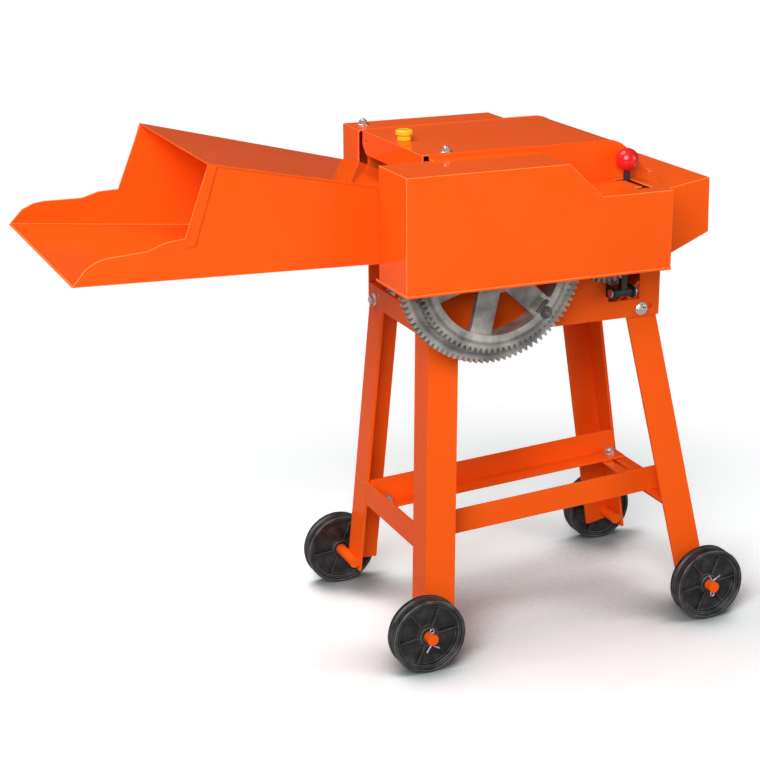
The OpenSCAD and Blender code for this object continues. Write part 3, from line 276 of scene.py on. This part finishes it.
# ---------------------------------------------------------------------------
# Hem of the gear cover: the sheet's lower edge is folded back on itself along
# the front and both ends, so that it is stiff and has no sharp edge.
cover_lo, cover_hi = (Vector(corner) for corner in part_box("gear_cover"))
hem_h = 0.0042
hem_proud = 0.0007
hem_back = cover_hi.y - 0.004
hem_path = [
    (Vector((cover_lo.x, hem_back, 0)), Vector((-1, 0, 0))),
    (Vector((cover_lo.x, cover_lo.y, 0)), Vector((-1, -1, 0))),
    (Vector((cover_hi.x, cover_lo.y, 0)), Vector((1, -1, 0))),
    (Vector((cover_hi.x, hem_back, 0)), Vector((1, 0, 0))),
]
hem_sunk = 0.0003
hem_round = [(None, 0.0001), (0.45, 0.06), (0.85, 0.22), (1.0, 0.45), (0.95, 0.75), (0.6, 0.93), (None, 1.0)]
shape = bmesh.new()
rows = []
for corner, away in hem_path:
    row = []
    for out, up_share in hem_round:
        off = hem_proud * out if out else -hem_sunk
        row.append(shape.verts.new(corner + away * off + Vector((0, 0, cover_lo.z + hem_h * up_share))))
    rows.append(row)
for a, b in zip(rows, rows[1:]):
    for j in range(len(hem_round)):
        k = (j + 1) % len(hem_round)
        shape.faces.new((a[j], b[j], b[k], a[k]))
shape.faces.new(rows[0])
shape.faces.new(rows[-1])
bmesh.ops.recalc_face_normals(shape, faces=shape.faces)
hem_mesh = bpy.data.meshes.new("cover_hem")
shape.to_mesh(hem_mesh)
shape.free()
hem_mesh.materials.append(orange)
hem_mesh.materials.append(orange_painted_highlight)
# Faces of the hem that look upward take the paler enamel: a painted highlight on its top.
for face in hem_mesh.polygons:
    face.material_index = int(face.normal.z > 0.25)
hem = bpy.data.objects.new("cover_hem", hem_mesh)
scene.collection.objects.link(hem)
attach(hem, "chassis")

# ---------------------------------------------------------------------------
# Split pins: soft steel wire folded to an eye, pushed through the axle and
# spread with pliers, one leg of each bent further than the other.
metal = bpy.data.node_groups.new("bare_metal", "ShaderNodeTree")
metal.interface.new_socket("Dull", in_out="INPUT", socket_type="NodeSocketColor")
metal.interface.new_socket("Bright", in_out="INPUT", socket_type="NodeSocketColor")
metal.interface.new_socket("Grain", in_out="INPUT", socket_type="NodeSocketFloat")
metal.interface.new_socket("Smooth", in_out="INPUT", socket_type="NodeSocketFloat")
metal.interface.new_socket("Colour", in_out="OUTPUT", socket_type="NodeSocketColor")
metal.interface.new_socket("Roughness", in_out="OUTPUT", socket_type="NodeSocketFloat")
metal.interface.new_socket("Normal", in_out="OUTPUT", socket_type="NodeSocketVector")
given = metal.nodes.new("NodeGroupInput")
result = metal.nodes.new("NodeGroupOutput")
place = metal.nodes.new("ShaderNodeTexCoord")
stain = metal.nodes.new("ShaderNodeTexNoise")
stain.inputs["Scale"].default_value = 28.0
stain.inputs["Detail"].default_value = 5.0
grain = metal.nodes.new("ShaderNodeTexNoise")
grain.inputs["Detail"].default_value = 2.0
metal.links.new(place.outputs["Object"], stain.inputs["Vector"])
metal.links.new(place.outputs["Object"], grain.inputs["Vector"])
metal.links.new(given.outputs["Grain"], grain.inputs["Scale"])
patch = metal.nodes.new("ShaderNodeMapRange")
patch.inputs["From Min"].default_value = 0.35
patch.inputs["From Max"].default_value = 0.65
metal.links.new(stain.outputs["Fac"], patch.inputs["Value"])
tone = metal.nodes.new("ShaderNodeMix")
tone.data_type = "RGBA"
metal.links.new(patch.outputs["Result"], tone.inputs["Factor"])
metal.links.new(given.outputs["Dull"], tone.inputs["A"])
metal.links.new(given.outputs["Bright"], tone.inputs["B"])
spread = metal.nodes.new("ShaderNodeMath")
spread.operation = "MULTIPLY_ADD"
spread.inputs[1].default_value = 0.25
metal.links.new(grain.outputs["Fac"], spread.inputs[0])
metal.links.new(given.outputs["Smooth"], spread.inputs[2])
tooth = metal.nodes.new("ShaderNodeBump")
tooth.inputs["Strength"].default_value = 0.12
tooth.inputs["Distance"].default_value = 0.0004
metal.links.new(grain.outputs["Fac"], tooth.inputs["Height"])
metal.links.new(tone.outputs["Result"], result.inputs["Colour"])
metal.links.new(spread.outputs["Value"], result.inputs["Roughness"])
metal.links.new(tooth.outputs["Normal"], result.inputs["Normal"])


def bare(name, dull, bright, grain, smooth, metallic):
    material = bpy.data.materials.new(name)
    material.use_nodes = True
    shader = material.node_tree.nodes["Principled BSDF"]
    shader.inputs["Metallic"].default_value = metallic
    worked = material.node_tree.nodes.new("ShaderNodeGroup")
    worked.node_tree = metal
    worked.inputs["Dull"].default_value = (*dull, 1.0)
    worked.inputs["Bright"].default_value = (*bright, 1.0)
    worked.inputs["Grain"].default_value = grain
    worked.inputs["Smooth"].default_value = smooth
    material.node_tree.links.new(worked.outputs["Colour"], shader.inputs["Base Color"])
    material.node_tree.links.new(worked.outputs["Roughness"], shader.inputs["Roughness"])
    material.node_tree.links.new(worked.outputs["Normal"], shader.inputs["Normal"])
    return material


zinc = bare("zinc_plate", (0.46, 0.47, 0.48), (0.80, 0.81, 0.82), 900.0, 0.18, 0.85)


def baked(name, data, material):
    maker = bpy.data.objects.new(name, data)
    scene.collection.objects.link(maker)
    bpy.context.view_layer.update()
    mesh = bpy.data.meshes.new_from_object(maker.evaluated_get(bpy.context.evaluated_depsgraph_get()))
    bpy.data.objects.remove(maker)
    piece = bpy.data.objects.new(name, mesh)
    mesh.materials.clear()
    mesh.materials.append(material)
    scene.collection.objects.link(piece)
    return piece


pin_lo, pin_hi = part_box("split_pins")
axle_r = 0.009
wire_r = 0.0012
eye_r = 0.0034
pin_wire = bpy.data.curves.new("split_pins", "CURVE")
pin_wire.dimensions = "3D"
pin_wire.bevel_depth = wire_r
pin_wire.bevel_resolution = 3
pin_wire.use_fill_caps = True
for wheel, flip in (("wheel_fl", 1), ("wheel_fr", -1), ("wheel_bl", 1), ("wheel_br", 1)):
    lo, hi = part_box(wheel)
    hub = (Vector(lo) + Vector(hi)) / 2
    outer = pin_lo[1] + wire_r if hub.y < 0 else pin_hi[1] - wire_r
    eye_top = axle_r + 0.0008
    for side, reach, drop in ((-1, 0.0085, 0.0125), (1, 0.0125, 0.0085)):
        shank = side * wire_r * 0.55
        track = [(shank, -axle_r - 0.001), (shank, 0.0), (shank, eye_top)]
        track.insert(0, (side * reach * 0.35, -axle_r - 0.004))
        track.insert(0, (side * reach, -axle_r - drop))
        for step in range(1, 7):
            turn = math.radians(-80 + step * 28.3)
            track.append((side * eye_r * math.cos(turn), eye_top + eye_r * (1 + math.sin(turn))))
        spline = pin_wire.splines.new("NURBS")
        spline.order_u = 3
        spline.use_endpoint_u = True
        spline.points.add(len(track) - 1)
        for point, (across, along) in zip(spline.points, track):
            point.co = (hub.x + across, outer, hub.z + flip * along, 1.0)
pins = baked("bent_split_pins", pin_wire, zinc)
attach(pins, "chassis")
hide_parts("split_pins")

# ---------------------------------------------------------------------------
# Wheels: black polypropylene, moulded in one piece with a grooved tread, a
# stepped rim, six thin ribs on a web and a hub that turns on the axle.
black = bpy.data.materials.new("moulded_black")
black.use_nodes = True
tree = black.node_tree
shader = tree.nodes["Principled BSDF"]
shader.inputs["Specular IOR Level"].default_value = 0.45
place = tree.nodes.new("ShaderNodeTexCoord")
scuff = tree.nodes.new("ShaderNodeTexNoise")
scuff.inputs["Scale"].default_value = 60.0
scuff.inputs["Detail"].default_value = 6.0
pores = tree.nodes.new("ShaderNodeTexNoise")
pores.inputs["Scale"].default_value = 1400.0
tree.links.new(place.outputs["Object"], scuff.inputs["Vector"])
tree.links.new(place.outputs["Object"], pores.inputs["Vector"])
tone = tree.nodes.new("ShaderNodeValToRGB")
tone.color_ramp.elements[0].position = 0.4
tone.color_ramp.elements[0].color = (0.012, 0.012, 0.013, 1.0)
tone.color_ramp.elements[1].position = 0.8
tone.color_ramp.elements[1].color = (0.05, 0.05, 0.052, 1.0)
tree.links.new(scuff.outputs["Fac"], tone.inputs["Fac"])
tree.links.new(tone.outputs["Color"], shader.inputs["Base Color"])
rub = tree.nodes.new("ShaderNodeMapRange")
rub.inputs["To Min"].default_value = 0.25
rub.inputs["To Max"].default_value = 0.6
tree.links.new(scuff.outputs["Fac"], rub.inputs["Value"])
tree.links.new(rub.outputs["Result"], shader.inputs["Roughness"])
skin = tree.nodes.new("ShaderNodeBump")
skin.inputs["Strength"].default_value = 0.1
skin.inputs["Distance"].default_value = 0.0003
tree.links.new(pores.outputs["Fac"], skin.inputs["Height"])
tree.links.new(skin.outputs["Normal"], shader.inputs["Normal"])

# A paler copy of the black for the bevelled edges of ribs and rim: painted highlight.
black_painted_highlight = black.copy()
black_painted_highlight.name = "moulded_black_edge"
black_painted_highlight_tone = next(n for n in black_painted_highlight.node_tree.nodes if n.type == "VALTORGB").color_ramp
black_painted_highlight_tone.elements[0].color = (0.06, 0.06, 0.062, 1.0)
black_painted_highlight_tone.elements[1].color = (0.17, 0.17, 0.175, 1.0)

rib_count = 6
rib_half = 0.0013
rib_turn = math.radians(8)
web_half = 0.004
turns = 112
for node, body in (
    ("wheel_fl", "wheel_front_feed"), ("wheel_fr", "wheel_front_out"),
    ("wheel_bl", "wheel_rear_feed"), ("wheel_br", "wheel_rear_out"),
):
    lo, hi = (Vector(corner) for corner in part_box(node))
    hub = (lo + hi) / 2
    tread = (hi.z - lo.z) / 2
    half = (hi.y - lo.y) / 2
    outward = -1 if hub.y < 0 else 1
    boss = 0.26 * tread
    profile = [
        (axle_r + 0.0001, 0.79 * half), (boss - 0.001, 0.79 * half), (boss, 0.72 * half),
        (boss + 0.0008, web_half), (0.79 * tread, web_half), (0.805 * tread, 0.62 * half),
        (0.82 * tread, 0.70 * half), (0.88 * tread, 0.70 * half), (0.892 * tread, 0.86 * half),
        (0.905 * tread, 0.95 * half), (0.925 * tread, half), (0.975 * tread, half),
        (0.993 * tread, 0.95 * half), (tread, 0.86 * half), (tread, 0.42 * half), (0.985 * tread, 0.36 * half),
        (0.955 * tread, 0.26 * half),
    ]
    ring = profile + [(r, -y) for r, y in reversed(profile)]
    shape = bmesh.new()
    rows = []
    for k in range(turns):
        a = 2 * math.pi * k / turns
        rows.append([
            shape.verts.new((hub.x + r * math.cos(a), hub.y + outward * y, hub.z + r * math.sin(a)))
            for r, y in ring
        ])
    for k in range(turns):
        for j in range(len(ring)):
            shape.faces.new((rows[k][j], rows[k][(j + 1) % len(ring)],
                             rows[(k + 1) % turns][(j + 1) % len(ring)], rows[(k + 1) % turns][j]))
    for k in range(rib_count):
        a = rib_turn + 2 * math.pi * k / rib_count
        along = Vector((math.cos(a), 0.0, math.sin(a)))
        across = Vector((-math.sin(a), 0.0, math.cos(a)))
        for face in (-1, 1):
            low = face * (web_half - 0.001)
            high = face * 0.60 * half
            corners = []
            for r in (boss - 0.0015, 0.80 * tread):
                for deep, wide in ((low, rib_half * 1.5), (high, rib_half)):
                    for sign in (-1, 1):
                        corner = hub + along * r + across * sign * wide + Vector((0.0, deep, 0.0))
                        corners.append(shape.verts.new(corner))
            for quad in ((0, 1, 3, 2), (4, 6, 7, 5), (0, 4, 5, 1), (2, 3, 7, 6), (0, 2, 6, 4), (1, 5, 7, 3)):
                shape.faces.new([corners[i] for i in quad])
    bmesh.ops.recalc_face_normals(shape, faces=shape.faces)
    for face in shape.faces:
        face.smooth = True
    mesh = bpy.data.meshes.new("moulded_" + node)
    shape.to_mesh(mesh)
    shape.free()
    mesh.materials.append(black)
    mesh.materials.append(black_painted_highlight)
    piece = bpy.data.objects.new("moulded_" + node, mesh)
    scene.collection.objects.link(piece)
    soft = piece.modifiers.new("soft", "BEVEL")
    soft.width = 0.0005
    soft.segments = 2
    soft.limit_method = "ANGLE"
    soft.angle_limit = math.radians(28)
    soft.material = 1
    shading = piece.modifiers.new("shading", "WEIGHTED_NORMAL")
    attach(piece, body)
    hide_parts(node)

# ---------------------------------------------------------------------------
# Bolts: zinc-plated hexagon nuts with a 30 degree chamfer on plain washers, the
# end of the stud standing two threads proud.
flat_r = 0.0066
head_h = 0.0062
washer_r = 0.0105
washer_t = 0.0018
stud_r = 0.0041
shape = bmesh.new()
around = 48
layers = []
for k in range(around):
    a = 2 * math.pi * k / around
    off = (a % (math.pi / 3)) - math.pi / 6
    hexagon = flat_r / math.cos(off)
    slope = (hexagon - 0.95 * flat_r) * math.tan(math.radians(30))
    top = washer_t + head_h
    rings = [
        (0.0, 0.0), (washer_r - 0.0003, 0.0), (washer_r, 0.0003), (washer_r, washer_t - 0.0005),
        (washer_r - 0.0005, washer_t), (hexagon, washer_t), (hexagon, top - slope), (0.95 * flat_r, top),
        (stud_r + 0.0005, top), (stud_r, top - 0.0004), (stud_r, top + 0.0014), (stud_r - 0.0009, top + 0.0024),
        (0.0, top + 0.0024),
    ]
    layers.append([shape.verts.new((r * math.cos(a), r * math.sin(a), z)) for r, z in rings])
for k in range(around):
    a, b = layers[k], layers[(k + 1) % around]
    for j in range(len(a) - 1):
        shape.faces.new((a[j], b[j], b[j + 1], a[j + 1]))
bmesh.ops.remove_doubles(shape, verts=shape.verts, dist=0.00001)
bmesh.ops.dissolve_degenerate(shape, edges=shape.edges, dist=0.00001)
bmesh.ops.recalc_face_normals(shape, faces=shape.faces)
nut_mesh = bpy.data.meshes.new("washer_and_nut")
shape.to_mesh(nut_mesh)
shape.free()
nut = bpy.data.objects.new("washer_and_nut", nut_mesh)

setting = bpy.data.node_groups.new("set_fasteners", "GeometryNodeTree")
setting.interface.new_socket("Seats", in_out="INPUT", socket_type="NodeSocketGeometry")
nut_socket = setting.interface.new_socket("Fastener", in_out="INPUT", socket_type="NodeSocketObject")
size_socket = setting.interface.new_socket("Size", in_out="INPUT", socket_type="NodeSocketFloat")
coat_socket = setting.interface.new_socket("Finish", in_out="INPUT", socket_type="NodeSocketMaterial")
setting.interface.new_socket("Fasteners", in_out="OUTPUT", socket_type="NodeSocketGeometry")
given = setting.nodes.new("NodeGroupInput")
result = setting.nodes.new("NodeGroupOutput")
source = setting.nodes.new("GeometryNodeObjectInfo")
source.inputs["As Instance"].default_value = True
facing = setting.nodes.new("GeometryNodeInputNamedAttribute")
facing.data_type = "FLOAT_VECTOR"
facing.inputs["Name"].default_value = "facing"
point_out = setting.nodes.new("FunctionNodeAlignRotationToVector")
point_out.axis = "Z"
on_seats = setting.nodes.new("GeometryNodeInstanceOnPoints")
real = setting.nodes.new("GeometryNodeRealizeInstances")
coat = setting.nodes.new("GeometryNodeSetMaterial")
setting.links.new(given.outputs["Seats"], on_seats.inputs["Points"])
setting.links.new(given.outputs["Fastener"], source.inputs["Object"])
setting.links.new(source.outputs["Geometry"], on_seats.inputs["Instance"])
setting.links.new(facing.outputs["Attribute"], point_out.inputs["Vector"])
setting.links.new(point_out.outputs["Rotation"], on_seats.inputs["Rotation"])
setting.links.new(given.outputs["Size"], on_seats.inputs["Scale"])
setting.links.new(on_seats.outputs["Instances"], real.inputs["Geometry"])
setting.links.new(real.outputs["Geometry"], coat.inputs["Geometry"])
setting.links.new(given.outputs["Finish"], coat.inputs["Material"])
setting.links.new(coat.outputs["Geometry"], result.inputs["Fasteners"])


def fasteners(name, seats, size, body, finish, node=None):
    mesh = bpy.data.meshes.new(name)
    mesh.from_pydata([point for point, _ in seats], [], [])
    facing = mesh.attributes.new("facing", "FLOAT_VECTOR", "POINT")
    for k, (_, axis) in enumerate(seats):
        facing.data[k].vector = axis
    maker = bpy.data.objects.new(name, mesh)
    scene.collection.objects.link(maker)
    modifier = maker.modifiers.new("set", "NODES")
    modifier.node_group = setting
    modifier[nut_socket.identifier] = nut
    modifier[size_socket.identifier] = size
    modifier[coat_socket.identifier] = finish
    bpy.context.view_layer.update()
    made = bpy.data.meshes.new_from_object(maker.evaluated_get(bpy.context.evaluated_depsgraph_get()))
    maker.modifiers.clear()
    maker.data = made
    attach(maker, body)
    if node:
        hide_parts(node)


plate_lo, plate_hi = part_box("side_plate_front")
rear_lo, rear_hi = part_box("side_plate_rear")
bolt_in = 0.032
bolt_up = 0.0125
leg_iron = 0.005
seats = []
for x in (plate_lo[0] + bolt_in, plate_hi[0] - bolt_in):
    z = plate_lo[2] + bolt_up
    seats.append(((x, plate_lo[1], z), (0, -1, 0)))
    seats.append(((x, plate_hi[1] + leg_iron, z), (0, 1, 0)))
    seats.append(((x, rear_hi[1], z), (0, 1, 0)))
    seats.append(((x, rear_lo[1] - leg_iron, z), (0, -1, 0)))
fasteners("leg_bolt_set", seats, 1.0, "chassis", zinc, "leg_bolts")

end_in = 0.022
seats = []
for y in (plate_hi[1] + end_in, rear_lo[1] - end_in):
    z = plate_lo[2] + bolt_up
    seats.append(((plate_lo[0], y, z), (-1, 0, 0)))
    seats.append(((plate_hi[0], y, z), (1, 0, 0)))
fasteners("end_bolt_set", seats, 1.0, "chassis", zinc, "rail_end_bolts")

for node, body in (("rear_cover_nut", "chassis"), ("lid_nut", "lid")):
    lo, hi = (Vector(corner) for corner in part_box(node))
    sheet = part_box("rear_cover" if node == "rear_cover_nut" else "lid")[1][2]
    seat = ((lo.x + hi.x) / 2, (lo.y + hi.y) / 2, sheet)
    fasteners(node + "_set", [(seat, (0, 0, 1))], 0.92, body, zinc, node)
dress("rail_bolts", zinc, edge=0.0005)

# ---------------------------------------------------------------------------
# Feed gear: a cast iron ring with two rows of cut teeth on six spokes. Its faces
# are turned on a lathe, so fine rings run round the axle. Radial bands darken the
# casting towards the tooth roots and between the rows: grease and painted shade.
gear_lo, gear_hi = (Vector(corner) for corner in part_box("feed_gear"))
gear_middle = (gear_lo + gear_hi) / 2
iron = bare("gear_iron", (0.30, 0.29, 0.28), (0.72, 0.70, 0.67), 340.0, 0.20, 0.6)
tree = iron.node_tree
shader = tree.nodes["Principled BSDF"]
place = tree.nodes.new("ShaderNodeTexCoord")
centred = tree.nodes.new("ShaderNodeMapping")
centred.inputs["Location"].default_value = (-gear_middle.x, 0.0, -gear_middle.z)
tree.links.new(place.outputs["Object"], centred.inputs["Vector"])
flatten = tree.nodes.new("ShaderNodeVectorMath")
flatten.operation = "MULTIPLY"
flatten.inputs[1].default_value = (1.0, 0.0, 1.0)
tree.links.new(centred.outputs["Vector"], flatten.inputs[0])
radius = tree.nodes.new("ShaderNodeVectorMath")
radius.operation = "LENGTH"
tree.links.new(flatten.outputs["Vector"], radius.inputs[0])
# Radial bands, lighter on the faces and darker at the tooth roots and between the rows: painted shade, partly
# grease.
bands = tree.nodes.new("ShaderNodeValToRGB")
bands.color_ramp.interpolation = "EASE"
bands.color_ramp.elements[0].position = 0.60
bands.color_ramp.elements[0].color = (0.62, 0.61, 0.60, 1.0)
bands.color_ramp.elements[1].position = 0.985
bands.color_ramp.elements[1].color = (0.95, 0.94, 0.92, 1.0)
for share, grey_level in (
    (0.672, 1.0), (0.735, 0.95), (0.765, 0.48), (0.80, 0.80), (0.86, 0.62), (0.905, 0.44), (0.94, 0.82),
):
    bands.color_ramp.elements.new(share).color = (grey_level, 0.985 * grey_level, 0.965 * grey_level, 1.0)
reach = tree.nodes.new("ShaderNodeMath")
reach.operation = "DIVIDE"
reach.inputs[1].default_value = (gear_hi.x - gear_lo.x) / 2
tree.links.new(radius.outputs["Value"], reach.inputs[0])
tree.links.new(reach.outputs["Value"], bands.inputs["Fac"])
worked = next(n for n in tree.nodes if n.type == "GROUP")
grease_and_shade = tree.nodes.new("ShaderNodeMix")
grease_and_shade.data_type = "RGBA"
grease_and_shade.blend_type = "MULTIPLY"
grease_and_shade.inputs["Factor"].default_value = 1.0
tree.links.new(worked.outputs["Colour"], grease_and_shade.inputs["A"])
tree.links.new(bands.outputs["Color"], grease_and_shade.inputs["B"])
tree.links.new(grease_and_shade.outputs["Result"], shader.inputs["Base Color"])
cuts = tree.nodes.new("ShaderNodeTexNoise")
cuts.noise_dimensions = "1D"
cuts.inputs["Scale"].default_value = 700.0
tree.links.new(radius.outputs["Value"], cuts.inputs["W"])
turned = tree.nodes.new("ShaderNodeBump")
turned.inputs["Strength"].default_value = 0.12
turned.inputs["Distance"].default_value = 0.0004
tree.links.new(cuts.outputs["Fac"], turned.inputs["Height"])
tree.links.new(worked.outputs["Normal"], turned.inputs["Normal"])
tree.links.new(turned.outputs["Normal"], shader.inputs["Normal"])
# A paler, smoother iron for the bevelled edges of the gears: painted highlight.
iron_painted_highlight = bare("gear_iron_painted_highlight", (0.42, 0.42, 0.42), (0.7, 0.7, 0.69), 500.0, 0.15, 0.9)
dress("feed_gear", iron, iron_painted_highlight, 0.0005)

clip_turn = math.radians(-42)
clip_out = Vector((math.cos(clip_turn), 0.0, math.sin(clip_turn)))
clip_side = Vector((-math.sin(clip_turn), 0.0, math.cos(clip_turn)))
ring_face = gear_lo.y + 0.002
hub_point = Vector((gear_middle.x, ring_face, gear_middle.z))
bolt_out = 0.1115
greasy = bare("greasy_iron", (0.045, 0.044, 0.042), (0.17, 0.165, 0.16), 420.0, 0.26, 0.6)
ring_seat = hub_point + clip_out * bolt_out - clip_side * 0.003
fasteners("ring_bolt", [(ring_seat, (0, -1, 0))], 0.95, "feed", greasy)

clip_t = 0.0035
clip_back = 0.0125
clip_outline = [
    (-0.0125, -0.0035), (0.0105, -0.0035), (0.0125, -0.0015), (0.0125, 0.0035), (0.0060, 0.0035),
    (0.0045, 0.0020), (-0.0090, 0.0020), (-0.0125, 0.0005),
]
shape = bmesh.new()
for depth in (0.0005, -clip_t):
    middle = hub_point + clip_out * (bolt_out - clip_back) + Vector((0.0, depth, 0.0))
    shape.faces.new([shape.verts.new(middle + clip_out * out + clip_side * along) for along, out in clip_outline])
shape.verts.ensure_lookup_table()
count = len(clip_outline)
for k in range(count):
    j = (k + 1) % count
    shape.faces.new((shape.verts[k], shape.verts[j], shape.verts[count + j], shape.verts[count + k]))
bmesh.ops.recalc_face_normals(shape, faces=shape.faces)
clip_mesh = bpy.data.meshes.new("ring_clip")
shape.to_mesh(clip_mesh)
shape.free()
clip_mesh.materials.append(greasy)
clip = bpy.data.objects.new("ring_clip", clip_mesh)
scene.collection.objects.link(clip)
soft = clip.modifiers.new("soft", "BEVEL")
soft.width = 0.0006
soft.segments = 2
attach(clip, "feed")

# ---------------------------------------------------------------------------
# Gear train and drive: the pinions on the main shaft, the roller gears and the
# belt pulley are cut from cast iron, the shafts and rollers from bar steel.
steel = bare("bar_steel", (0.34, 0.34, 0.35), (0.62, 0.62, 0.62), 600.0, 0.2, 0.95)
plain_iron = bare("plain_iron", (0.14, 0.14, 0.14), (0.34, 0.34, 0.335), 300.0, 0.3, 0.85)
for node in ("pinion_cluster", "gear_lower", "gear_upper", "pulley"):
    dress(node, plain_iron, iron_painted_highlight, 0.0005)
for node in ("main_shaft", "lower_roller", "upper_roller", "lever_pin"):
    dress(node, steel, edge=0.0006)

# ---------------------------------------------------------------------------
# Rotor, bearings and blades: the arms and bearing housings are left as cast and
# oiled, the knives are ground bright.
oiled = bare("oiled_casting", (0.022, 0.022, 0.024), (0.075, 0.073, 0.07), 240.0, 0.38, 0.6)
ground = bare("ground_blade", (0.5, 0.5, 0.51), (0.74, 0.74, 0.75), 1200.0, 0.1, 1.0)
for node in ("rotor", "main_bearings", "roller_bearings"):
    dress(node, oiled, edge=0.001)
for node in ("knives", "fixed_knife"):
    dress(node, ground, edge=0.0003)
dress("knife_bolts", zinc, edge=0.0005)

# ---------------------------------------------------------------------------
# Shift lever: a blackened steel rod on a pin below the cover, with a red ball
# of hard plastic screwed on its end.
blackened = bare("blackened_steel", (0.018, 0.018, 0.02), (0.05, 0.05, 0.052), 500.0, 0.3, 0.5)
for node in ("lever_bracket", "shift_lever"):
    dress(node, blackened, edge=0.0006)


def moulded(name, deep, pale, smooth, coarse):
    material = bpy.data.materials.new(name)
    material.use_nodes = True
    tree = material.node_tree
    shader = tree.nodes["Principled BSDF"]
    place = tree.nodes.new("ShaderNodeTexCoord")
    swirl = tree.nodes.new("ShaderNodeTexNoise")
    swirl.inputs["Scale"].default_value = 90.0
    swirl.inputs["Detail"].default_value = 4.0
    tree.links.new(place.outputs["Object"], swirl.inputs["Vector"])
    tone = tree.nodes.new("ShaderNodeMix")
    tone.data_type = "RGBA"
    tone.inputs["A"].default_value = (*deep, 1.0)
    tone.inputs["B"].default_value = (*pale, 1.0)
    tree.links.new(swirl.outputs["Fac"], tone.inputs["Factor"])
    tree.links.new(tone.outputs["Result"], shader.inputs["Base Color"])
    shine = tree.nodes.new("ShaderNodeMapRange")
    shine.inputs["To Min"].default_value = smooth
    shine.inputs["To Max"].default_value = coarse
    tree.links.new(swirl.outputs["Fac"], shine.inputs["Value"])
    tree.links.new(shine.outputs["Result"], shader.inputs["Roughness"])
    faint = tree.nodes.new("ShaderNodeBump")
    faint.inputs["Strength"].default_value = 0.03
    faint.inputs["Distance"].default_value = 0.0005
    tree.links.new(swirl.outputs["Fac"], faint.inputs["Height"])
    tree.links.new(faint.outputs["Normal"], shader.inputs["Normal"])
    return material


red = moulded("red_ball", (0.68, 0.012, 0.014), (0.82, 0.022, 0.024), 0.1, 0.24)
dress("ball", red, edge=0.0003)

# ---------------------------------------------------------------------------
# Oil cap: yellow plastic, turned to a flanged knob and pushed into the lid.
yellow = moulded("yellow_cap", (0.93, 0.50, 0.010), (1.0, 0.64, 0.022), 0.18, 0.34)
dress("cap", yellow, edge=0.0007)
